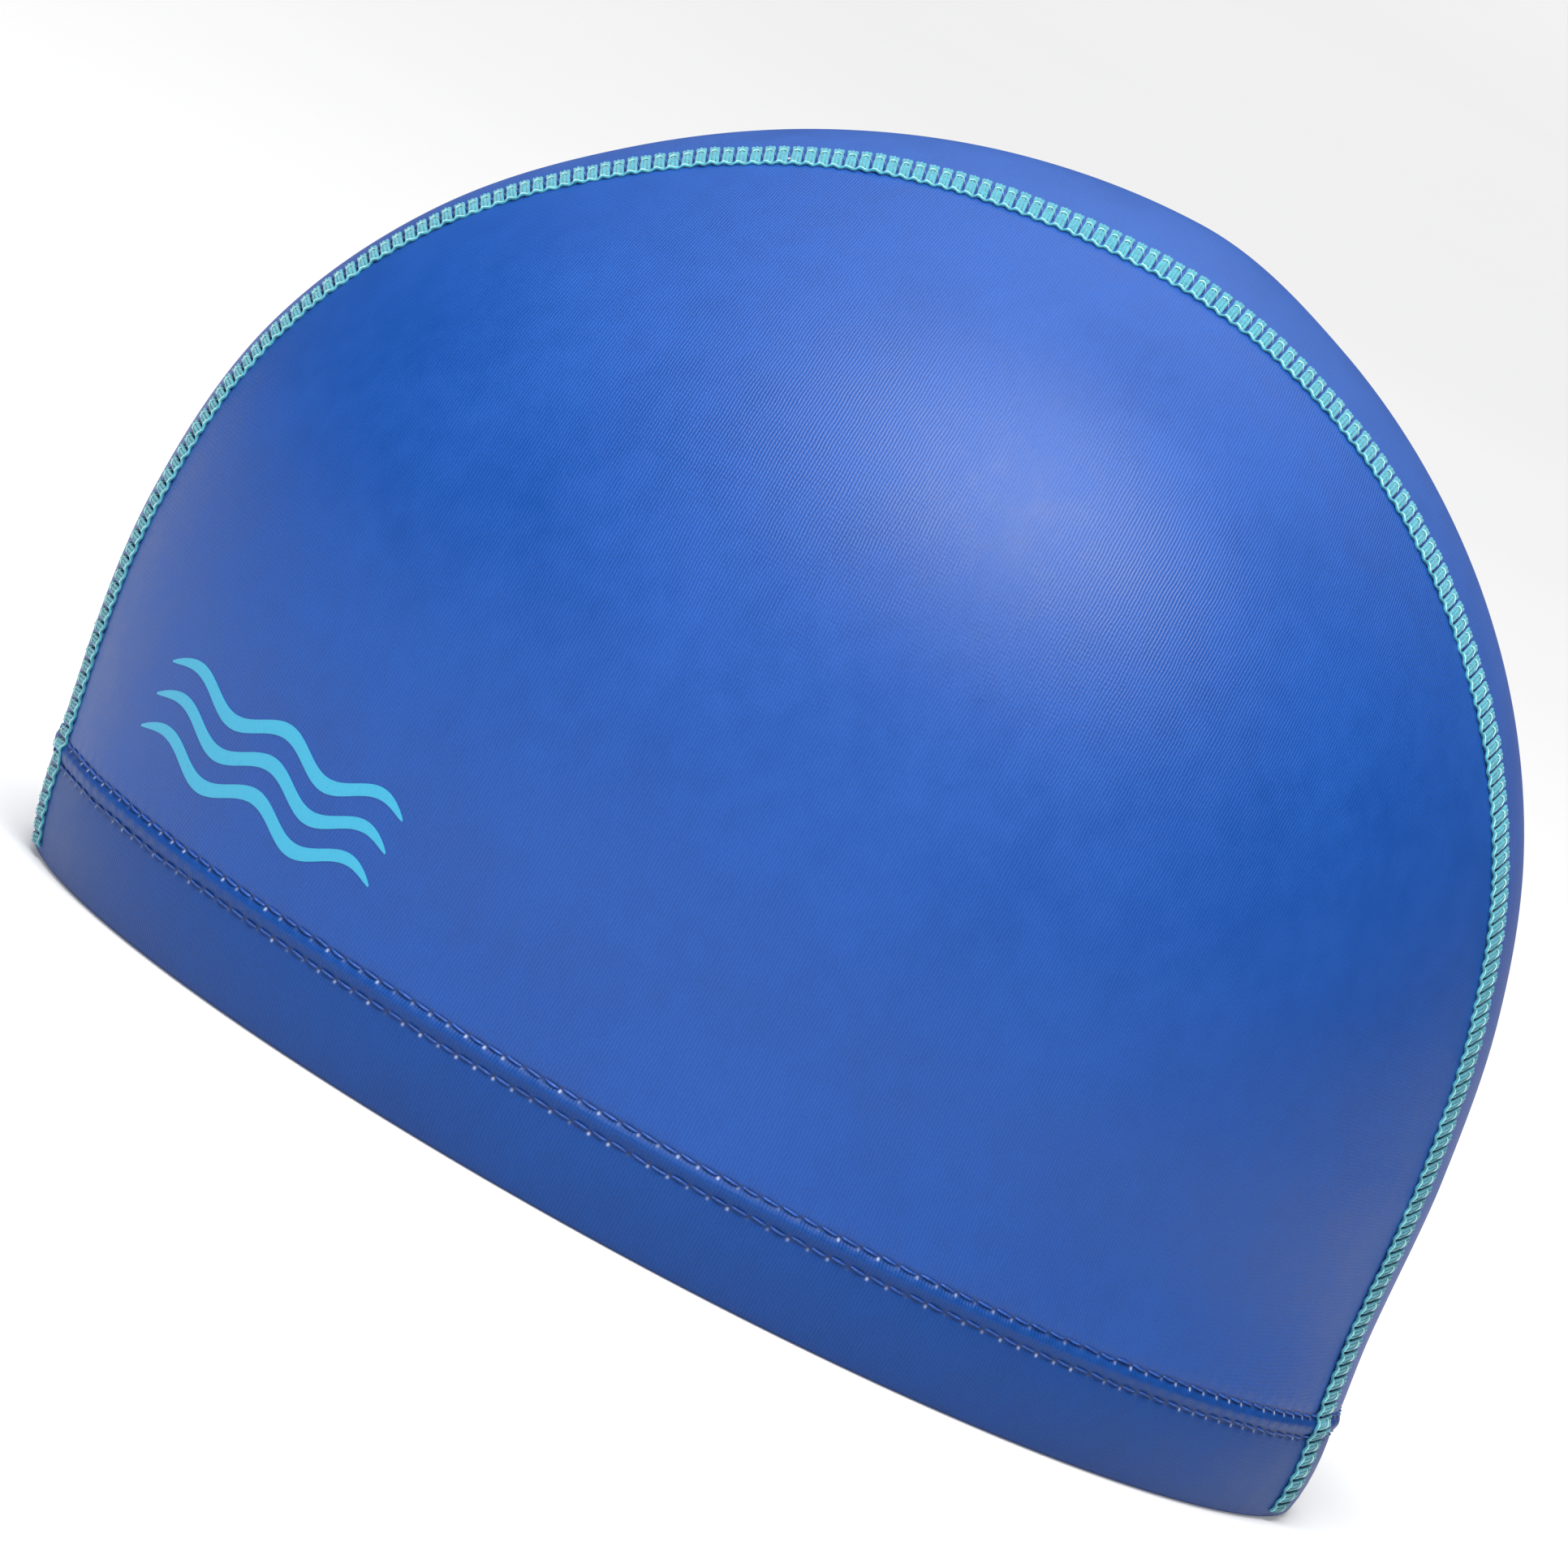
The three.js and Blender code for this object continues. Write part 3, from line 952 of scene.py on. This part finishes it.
@dataclass
class CentrePanel:
    """The strip of cloth over the head, from the hem at the forehead to the hem at the nape."""

    dome: Dome
    cloth: Cloth
    columns: int = 400
    rows: int = 36

    def build(self, material: bpy.types.Material) -> bpy.types.Object:
        """Lays the strip on the dome and gives it its wall."""
        piece = add_grid("centre_panel_cloth", self.columns, self.rows)
        share = vertices_of(piece)
        across = 2 * share[:, 1] - 1
        gap = self.cloth.joint_gap / 2
        edge_across, index = np.unique(across.round(7), return_inverse=True)
        starts, ends = self.dome.station_range(edge_across, 0.0, self.cloth.join_height)
        station = lerp(starts[index], ends[index], share[:, 0])
        half = self.dome.strip_reach(station) - gap
        direction = self.dome.at_station(station, across * half)
        flat = self.dome.point(direction)
        from_seam = half - np.abs(across * half)
        lay_vertices(piece, self.dome.lifted(direction, self.cloth.dips(flat, from_seam)))
        middle = np.linspace(starts.mean(), ends.mean(), 600)
        length = run_length(self.dome.point(self.dome.at_station(middle, 0 * middle)))
        set_uv(piece, across * half, np.interp(station, middle, length))
        azimuth = np.arctan2(direction[:, 0], -direction[:, 1])
        set_hem_run(piece, *hem_run_of(self.dome, azimuth, self.cloth.join_height))
        turn_outward(piece, np.array([0.0, self.dome.setback, self.dome.waist]))
        apply_modifier(piece, "SOLIDIFY", thickness=self.cloth.thickness, offset=-1.0)
        smooth_faces(piece, 50.0)
        dress(piece, material, "centre_cloth", "centre_panel")
        return piece


@dataclass
class HemBand:
    """The lower edge of the cloth, turned up inside and stitched down as a band of two layers."""

    dome: Dome
    cloth: Cloth
    columns: int = 1100
    lower_row: float = 0.013
    upper_row: float = 0.0161
    swell: float = 0.00025
    ridge: float = 0.0005
    fold_radius: float = 0.0012
    pitch: float = 0.003

    def outer_face(self, height: np.ndarray) -> np.ndarray:
        """Gives how far the outer face stands off the dome at heights."""
        band = self.swell * np.sin(np.pi * np.clip(height / self.lower_row, 0.0, 1.0))
        middle = (self.lower_row + self.upper_row) / 2
        puff = self.ridge * bell(height - middle, 0.001)
        rows = sum(self.cloth.row_dip * bell(height - row, 0.0006) for row in (self.lower_row, self.upper_row))
        return band + puff - rows

    def section(self) -> tuple[np.ndarray, np.ndarray]:
        """Gives the cross-section, once round from the outer edge of the rim's foot.

        Returns:
            How far each point lies out of the dome, and its height.
        """
        radius, layer, top = self.fold_radius, self.cloth.thickness, self.cloth.hem_top
        fold = np.linspace(-math.pi / 2, 0.0, 5)
        corner_out = radius * (np.cos(fold) - 1)
        corner_up = radius * (1 + np.sin(fold))
        outer_up = np.concatenate([np.linspace(0.003, 0.0115, 5), np.linspace(0.0122, self.upper_row, 13)])
        edge_out = np.array([-layer, -layer, -layer - 0.0002, -2 * layer + 0.0002, -2 * layer])
        edge_up = np.array([self.upper_row, top - 0.0003, top, top, top - 0.0003])
        inner_up = np.linspace(0.0145, 0.003, 5)
        inner_out = -2 * layer - self.swell * np.sin(np.pi * inner_up / self.lower_row).clip(0.0)
        out = [corner_out, self.outer_face(outer_up), edge_out, inner_out, (-2 * layer - corner_out)[::-1]]
        up = [corner_up, outer_up, edge_up, inner_up, corner_up[::-1]]
        return np.concatenate(out), np.concatenate(up)

    def build(self, material: bpy.types.Material) -> bpy.types.Object:
        """Runs the section round the head as one closed ring."""
        out, up = self.section()
        size = len(out)
        piece = add_grid("hem_band_cloth", self.columns, size)
        share = vertices_of(piece)
        azimuth = lerp(-math.pi, math.pi, share[:, 0])
        turn = np.rint(share[:, 1] * size).astype(int)
        place = turn % size
        direction = self.dome.at_height(azimuth, up[place])
        level = self.dome.normal(direction) * np.array([1.0, 1.0, 0.0])
        run, whole = hem_run_of(self.dome, azimuth, self.upper_row)
        points = self.dome.point(direction) + unit_rows(level) * out[place][:, None]
        points[:, 2] = up[place]
        around = np.concatenate([[0.0], np.cumsum(np.hypot(np.diff(out), np.diff(up))), [0.0]])
        around[size] = around[size - 1] + 2 * self.fold_radius
        lay_vertices(piece, points)
        set_uv(piece, run, around[turn])
        set_hem_run(piece, run, whole)
        in_edit_mode(piece, self.close_ring)
        smooth_faces(piece, 50.0)
        dress(piece, material, "hem_cloth", "hem_band")
        return piece

    @staticmethod
    def close_ring() -> None:
        """Merges the meeting edges and turns the faces outwards."""
        bpy.ops.mesh.remove_doubles(threshold=0.00001)
        bpy.ops.mesh.normals_make_consistent(inside=False)


class Axis(Enum):
    """The way that a strand runs, with the turn of its rings."""

    ALONG = (0.0, math.pi / 2, 0.0)
    ACROSS = (math.pi / 2, 0.0, 0.0)


@dataclass(frozen=True)
class Strand:
    """A stretch of thread, drawn ring by ring: along, across, lift and radius, in millimetres."""

    name: str
    axis: Axis
    rings: tuple[tuple[float, float, float, float], ...]
    sides: int = 6
    flatness: float = 0.85

    def model(self, capped: bool) -> bpy.types.Object:
        """Extrudes the strand from its first ring.

        Args:
            capped: Whether the ends are closed.

        Returns:
            The strand, as a flat sample.
        """
        rings = np.array(self.rings) / 1000
        deselect_all()
        bpy.ops.mesh.primitive_circle_add(
            vertices=self.sides, radius=rings[0, 3], location=rings[0, :3], rotation=self.axis.value
        )
        bpy.ops.object.transform_apply(location=True, rotation=True, scale=True)
        piece = bpy.context.object
        piece.name = self.name
        bpy.ops.object.mode_set(mode="EDIT")
        bpy.ops.mesh.select_all(action="SELECT")
        if capped:
            bpy.ops.mesh.edge_face_add()
            bpy.ops.mesh.select_all(action="SELECT")
            bpy.ops.mesh.duplicate()
        for before, after in zip(rings[:-1], rings[1:]):
            bpy.ops.mesh.extrude_region_move(TRANSFORM_OT_translate={"value": tuple(after[:3] - before[:3])})
            bpy.ops.transform.resize(value=(after[3] / before[3],) * 3)
        bpy.ops.mesh.select_all(action="SELECT")
        bpy.ops.mesh.remove_doubles(threshold=0.000002)
        bpy.ops.mesh.normals_make_consistent(inside=False)
        bpy.ops.object.mode_set(mode="OBJECT")
        return piece


def scallop(along: float) -> tuple[float, float]:
    """Gives the chain's place across the seam and its lift, in millimetres, at a place along a stitch."""
    swing = math.cos(math.tau * (along - 0.57) / 1.9)
    return 2.52 + 0.22 * swing, 0.36 - 0.06 * swing


def leg_rings(place: float) -> tuple[tuple[float, float, float, float], ...]:
    """Gives the rings of one of a stitch's three threads, which lie side by side and draw in at the waist."""
    across = (-3.00, -2.90, -2.62, -1.85, -1.05, 0.10, 1.35, 2.38)
    apart = (0.40, 0.46, 0.49, 0.46, 0.42, 0.47, 0.49, 0.50)
    lift = (0.24, 0.30, 0.36, 0.38, 0.28, 0.38, 0.38, 0.26)
    radius = (0.10, 0.21, 0.28, 0.28, 0.27, 0.28, 0.28, 0.24)
    top = 0.07 * (1 - abs(place))
    return tuple((place * a, c, z + top, r) for c, a, z, r in zip(across, apart, lift, radius))


def chain_rings() -> tuple[tuple[float, float, float, float], ...]:
    """Gives the rings of one scallop of the chain."""
    places = [-0.95 + 1.9 * step / 6 for step in range(7)]
    return tuple((place, *scallop(place), 0.21) for place in places)


def glint_rings() -> tuple[tuple[float, float, float, float], ...]:
    """Gives the rings of the pale thread that lies on one scallop."""
    rings = []
    stations = ((-0.90, 0.10, 0.06), (-0.5, 0.17, 0.10), (-0.1, 0.18, 0.11), (0.3, 0.17, 0.10), (0.80, 0.08, 0.06))
    for place, rise, radius in stations:
        across, lift = scallop(place)
        rings.append((place, across - 0.10, lift + rise, radius))
    return tuple(rings)


ARC_RINGS = (
    (-0.62, -0.98, 0.30, 0.07),
    (-0.40, -1.16, 0.60, 0.11),
    (0.02, -1.28, 0.70, 0.12),
    (0.42, -1.10, 0.62, 0.12),
    (0.78, -0.66, 0.38, 0.10),
    (0.95, -0.36, 0.10, 0.06),
)


@dataclass
class FlatSeam:
    """A flat seam of overlock stitches over the joint of the centre panel and a side panel."""

    dome: Dome
    hem: HemBand
    side: Side
    pitch: float = 0.0019
    foot: float = 0.0012
    seed: int = 7
    wander: float = 0.00006
    slant: float = 0.25

    @property
    def name(self) -> str:
        """The piece's name, with its side."""
        return f"{self.side.name.lower()}_seam_stitches"

    def line(self) -> tuple[np.ndarray, np.ndarray]:
        """Gives stations along the seam's middle and the length run to each."""
        start, end = self.dome.station_range(1.0, 0.0, self.foot)
        station = np.linspace(start[0], end[0], 900)
        points = self.dome.point(self.dome.at_station(station, self.dome.strip_reach(station)))
        return station, run_length(points)

    def lay(self, piece: bpy.types.Object, count: int) -> None:
        """Lays a flat row of stitches along the seam.

        Args:
            piece: The row, one pitch a stitch, with the first stitch's middle at zero.
            count: How many stitches it has.
        """
        station_line, length = self.line()
        sample = vertices_of(piece)
        chance = np.random.default_rng(self.seed + int(self.side is Side.RIGHT))
        knots = np.arange(count + 2) * self.pitch
        shifts = chance.normal(0.0, self.wander, (3, count + 2))
        moved = sample + np.stack([np.interp(sample[:, 0], knots, shift) for shift in shifts], axis=1)
        way = np.clip((moved[:, 0] + self.pitch / 2) / (count * self.pitch), 0.0, 1.0)
        lean = self.slant * np.clip((way - 0.55) / 0.2, 0.0, 1.0)
        way = np.clip(way + lean * moved[:, 1] / (count * self.pitch), 0.0, 1.0)
        station = np.interp(way * length[-1], length, station_line)
        direction = self.dome.at_station(station, self.dome.strip_reach(station) + moved[:, 1])
        height = self.dome.point(direction)[:, 2]
        over_hem = np.clip((self.hem.upper_row + 0.003 - height) / 0.004, 0.0, 1.0)
        seat = over_hem * np.maximum(self.hem.outer_face(height), 0.0) - 0.0001
        points = self.dome.lifted(direction, moved[:, 2] + seat)
        points[:, 2] = np.maximum(points[:, 2], 0.0001)
        points[:, 0] *= self.side.value
        lay_vertices(piece, points)

    def row_of(self, strand: Strand, count: int, joined: bool) -> bpy.types.Object:
        """Repeats a strand along the seam and lays the row on the cap.

        Args:
            strand: The strand of one stitch.
            count: How many stitches.
            joined: Whether the strands join to one running thread.

        Returns:
            The row.
        """
        piece = strand.model(capped=not joined)
        apply_modifier(
            piece,
            "ARRAY",
            count=count,
            use_relative_offset=False,
            use_constant_offset=True,
            constant_offset_displace=(self.pitch, 0.0, 0.0),
            use_merge_vertices=joined,
            merge_threshold=0.00002,
        )
        if joined:
            in_edit_mode(piece, lambda: bpy.ops.mesh.fill_holes(sides=0))
        self.lay(piece, count)
        if self.side is Side.RIGHT:
            in_edit_mode(piece, bpy.ops.mesh.flip_normals)
        smooth_faces(piece, 75.0)
        return piece

    def build(self, thread: bpy.types.Material, pale: bpy.types.Material) -> list[bpy.types.Object]:
        """Sews the seam.

        Args:
            thread: The material of the thick thread.
            pale: The material of the thin pale thread.

        Returns:
            The stitches and the pale thread on them.
        """
        count = round(self.line()[1][-1] / self.pitch)
        legs = [Strand(f"leg{place:+.0f}", Axis.ACROSS, leg_rings(place)) for place in (-1.0, 0.0, 1.0)]
        chain = Strand("chain", Axis.ALONG, chain_rings())
        stitches = join_pieces(
            [self.row_of(leg, count, False) for leg in legs] + [self.row_of(chain, count, True)], self.name
        )
        arc = Strand("arc", Axis.ALONG, ARC_RINGS, sides=5)
        glint = Strand("glint", Axis.ALONG, glint_rings(), sides=4)
        pale_row = join_pieces(
            [self.row_of(strand, count, False) for strand in (arc, glint)],
            f"{self.side.name.lower()}_seam_pale_thread",
        )
        dress(stitches, thread, "seam_thread", f"{self.side.name.lower()}_seam")
        dress(pale_row, pale, "seam_thread")
        return [stitches, pale_row]


def join_pieces(pieces: list[bpy.types.Object], name: str) -> bpy.types.Object:
    """Joins several meshes to one piece of the given name."""
    deselect_all()
    for piece in pieces:
        piece.select_set(True)
    bpy.context.view_layer.objects.active = pieces[0]
    bpy.ops.object.join()
    pieces[0].name = name
    pieces[0].data.name = name
    return pieces[0]


@dataclass
class HemStitching:
    """The two rows of straight stitches that hold the hem."""

    dome: Dome
    hem: HemBand
    seed: int = 11

    def build(self, material: bpy.types.Material) -> bpy.types.Object:
        """Sews both rows round the cap."""
        dash = (
            (-1.30, 0.10, -0.12, 0.10),
            (-0.95, 0.08, 0.06, 0.16),
            (-0.35, 0.03, 0.15, 0.18),
            (0.35, -0.03, 0.15, 0.18),
            (0.95, -0.08, 0.06, 0.16),
            (1.30, -0.10, -0.12, 0.10),
        )
        rows = [self.sew(Strand("dash", Axis.ALONG, dash), row) for row in (self.hem.lower_row, self.hem.upper_row)]
        piece = join_pieces(rows, "hem_stitches")
        dress(piece, material, "hem_thread")
        return piece

    def sew(self, dash: Strand, height: float) -> bpy.types.Object:
        """Lays one row of dashes round the cap at a height."""
        around = np.linspace(-math.pi, math.pi, 1441)
        length, _ = hem_run_of(self.dome, around, self.hem.upper_row)
        count = int(length[-1] / self.hem.pitch)
        piece = dash.model(capped=True)
        apply_modifier(
            piece,
            "ARRAY",
            count=count,
            use_relative_offset=False,
            use_constant_offset=True,
            constant_offset_displace=(self.hem.pitch, 0.0, 0.0),
        )
        sample = vertices_of(piece)
        chance = np.random.default_rng(self.seed + round(height * 10000))
        knots = np.arange(count + 1) * self.hem.pitch
        for axis, amount in ((0, 0.00012), (1, 0.00008), (2, 0.00003)):
            sample[:, axis] += np.interp(sample[:, 0], knots, chance.normal(0.0, amount, count + 1))
        azimuth = np.interp(sample[:, 0] + self.hem.pitch / 2, length, around)
        direction = self.dome.at_height(azimuth, height + sample[:, 1])
        lift = self.hem.outer_face(height + sample[:, 1]) + sample[:, 2]
        lay_vertices(piece, self.dome.lifted(direction, lift))
        smooth_faces(piece, 75.0)
        return piece


@dataclass
class WavePrint:
    """Three plain wave lines, printed low on the left panel near the forehead."""

    dome: Dome
    length: float = 0.040
    width: float = 0.0021
    rise: float = 0.0016
    middle_y: float = -0.0650
    middle_z: float = 0.0310
    spacing: float = 0.0050
    waves: float = 2.5
    lift: float = 0.00006

    def build(self, material: bpy.types.Material) -> bpy.types.Object:
        """Lays the lines on the cloth."""
        lines = [self.line(index, (index - 1) * self.spacing) for index in range(3)]
        piece = join_pieces(lines, "wave_print")
        dress(piece, material, "print_ink")
        return piece

    def line(self, index: int, above: float) -> bpy.types.Object:
        """Makes one line with tapered ends.

        Args:
            index: The line's number.
            above: How far it lies above the print's middle.

        Returns:
            The line, laid on the dome.
        """
        piece = add_grid(f"wave_{index}", 90, 3)
        share = vertices_of(piece)
        run = (share[:, 0] - 0.5) * self.length
        taper = np.sqrt(np.clip(1 - (2 * share[:, 0] - 1) ** 4, 0.02, 1.0))
        swing = self.rise * np.sin(math.tau * self.waves * share[:, 0])
        across = (share[:, 1] - 0.5) * self.width * taper + swing + above
        y, z = self.middle_y + run, self.middle_z + across
        azimuth = np.full(y.shape, math.radians(40))
        for _ in range(14):
            direction = self.dome.at_height(azimuth, z)
            azimuth += (y - self.dome.point(direction)[:, 1]) / (self.dome.length / 2)
        lay_vertices(piece, self.dome.lifted(direction, self.lift))
        set_uv(piece, run, across)
        turn_outward(piece, np.array([0.0, self.dome.setback, self.dome.waist]))
        apply_modifier(piece, "SOLIDIFY", thickness=self.lift + 0.0001, offset=-1.0)
        smooth_faces(piece, 50.0)
        return piece


# ---- The studio ----


@dataclass
class Studio:
    """The camera, the soft lights and the plain floor."""

    aim: tuple[float, float, float] = (0.0, 0.0, 0.072)
    yaw: float = 3.5
    elevation: float = 7.3
    roll: float = 27.9
    distance: float = 2.2
    field: float = 0.2143
    aim_right: float = -0.0132
    aim_up: float = -0.0110

    def outward(self) -> Vector:
        """Gives the way from the cap to the camera."""
        yaw, lift = math.radians(self.yaw), math.radians(self.elevation)
        return Vector((math.cos(yaw) * math.cos(lift), math.sin(yaw) * math.cos(lift), math.sin(lift)))

    def turn(self) -> Quaternion:
        """Gives the camera's turn, rolled as the photograph is."""
        level = (-self.outward()).to_track_quat("-Z", "Y")
        return level @ Quaternion((0.0, 0.0, 1.0), math.radians(self.roll))

    def build_camera(self) -> None:
        """Places the camera."""
        data = bpy.data.cameras.new("camera")
        data.sensor_width = 36.0
        data.lens = 36.0 * self.distance / self.field
        data.clip_start = 0.01
        data.clip_end = 100.0
        camera = bpy.data.objects.new("camera", data)
        bpy.context.scene.collection.objects.link(camera)
        turn = self.turn()
        camera.rotation_mode = "QUATERNION"
        camera.rotation_quaternion = turn
        sideways = turn @ Vector((self.aim_right, self.aim_up, 0.0))
        camera.location = Vector(self.aim) + sideways + self.outward() * self.distance
        bpy.context.scene.camera = camera

    def add_light(
        self, name: str, way: Vector, distance: float, size: float, power: float
    ) -> bpy.types.Object:
        """Adds a soft light that looks at the cap.

        Args:
            name: The light's name.
            way: The way from the cap to the light.
            distance: How far off it stands.
            size: The side of its square.
            power: Its power in watts.

        Returns:
            The light.
        """
        data = bpy.data.lights.new(name, "AREA")
        data.shape = "SQUARE"
        data.size = size
        data.energy = power
        light = bpy.data.objects.new(name, data)
        bpy.context.scene.collection.objects.link(light)
        light.location = Vector(self.aim) + way.normalized() * distance
        light.rotation_mode = "QUATERNION"
        light.rotation_quaternion = (-way).to_track_quat("-Z", "Y")
        return light

    def build(self) -> None:
        """Sets up the camera, the lights, the surroundings and the floor."""
        self.build_camera()
        turn = self.turn()
        up, right = turn @ Vector((0.0, 1.0, 0.0)), turn @ Vector((1.0, 0.0, 0.0))
        out = self.outward()
        self.add_light("key", out * 0.60 + up * 0.74 + right * 0.31, 1.8, 1.2, 52.0)
        self.add_light("top", out * 0.22 + up * 1.00 + right * 0.06, 1.8, 1.3, 8.0)
        self.add_light("side", out * 0.64 + up * 0.46 + right * 0.62, 2.0, 1.2, 6.0)
        self.add_light("fill", out * 0.90 + up * 0.25 - right * 0.35, 2.0, 0.8, 2.0)
        backdrop = self.add_light("backdrop", Vector((0.0, 0.0, 1.0)), 3.5, 7.0, 170.0)
        backdrop.location.x -= 4.6
        backdrop.data.spread = math.radians(120.0)
        world = bpy.data.worlds.new("studio")
        world.use_nodes = True
        world.node_tree.nodes["Background"].inputs["Color"].default_value = (0.97, 0.98, 1.0, 1.0)
        world.node_tree.nodes["Background"].inputs["Strength"].default_value = 0.04
        bpy.context.scene.world = world
        bpy.context.scene.view_settings.view_transform = "Standard"
        self.build_floor()

    def build_floor(self) -> None:
        """Lays a plain pale floor."""
        deselect_all()
        bpy.ops.mesh.primitive_plane_add(size=40.0, location=(0.0, 0.0, 0.0))
        floor = bpy.context.object
        floor.name = "floor"
        material, wiring, shader = start_material("floor_paint")
        place = wiring.node("ShaderNodeTexCoord").outputs["Object"]
        tone = wiring.spread(wiring.noise(place, 3.0, 2.0), 0.3, 0.7, 0.63, 0.65)
        grey = wiring.node("ShaderNodeCombineColor", {"Red": tone, "Green": tone, "Blue": tone})
        wiring.put(shader.inputs["Base Color"], grey.outputs["Color"])
        shader.inputs["Roughness"].default_value = 0.9
        shader.inputs["Emission Color"].default_value = (1.0, 1.0, 1.0, 1.0)
        shader.inputs["Emission Strength"].default_value = 0.22
        floor.data.materials.append(material)


def main() -> None:
    """Builds the cap's pieces in order, then the studio."""
    logging.basicConfig(level=logging.INFO, format="%(message)s")
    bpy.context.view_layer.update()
    effects = Effects()
    dome = dome_of_frame()
    cloth = Cloth()
    side_cloth = SIDE_CLOTH.material(effects)
    for side in Side:
        SidePanel(dome, cloth, side).build(side_cloth)
    CentrePanel(dome, cloth).build(CENTRE_CLOTH.material(effects))
    hem = HemBand(dome, cloth)
    hem.build(HEM_CLOTH_PAINTED_SHADE.material(effects))
    thread, pale = SEAM_THREAD.material(effects), PALE_THREAD.material(effects)
    for side in Side:
        FlatSeam(dome, hem, side).build(thread, pale)
    HemStitching(dome, hem).build(HEM_THREAD.material(effects))
    WavePrint(dome).build(InkFinish().material(effects))
    Studio().build()


if __name__ == "__main__":
    main()
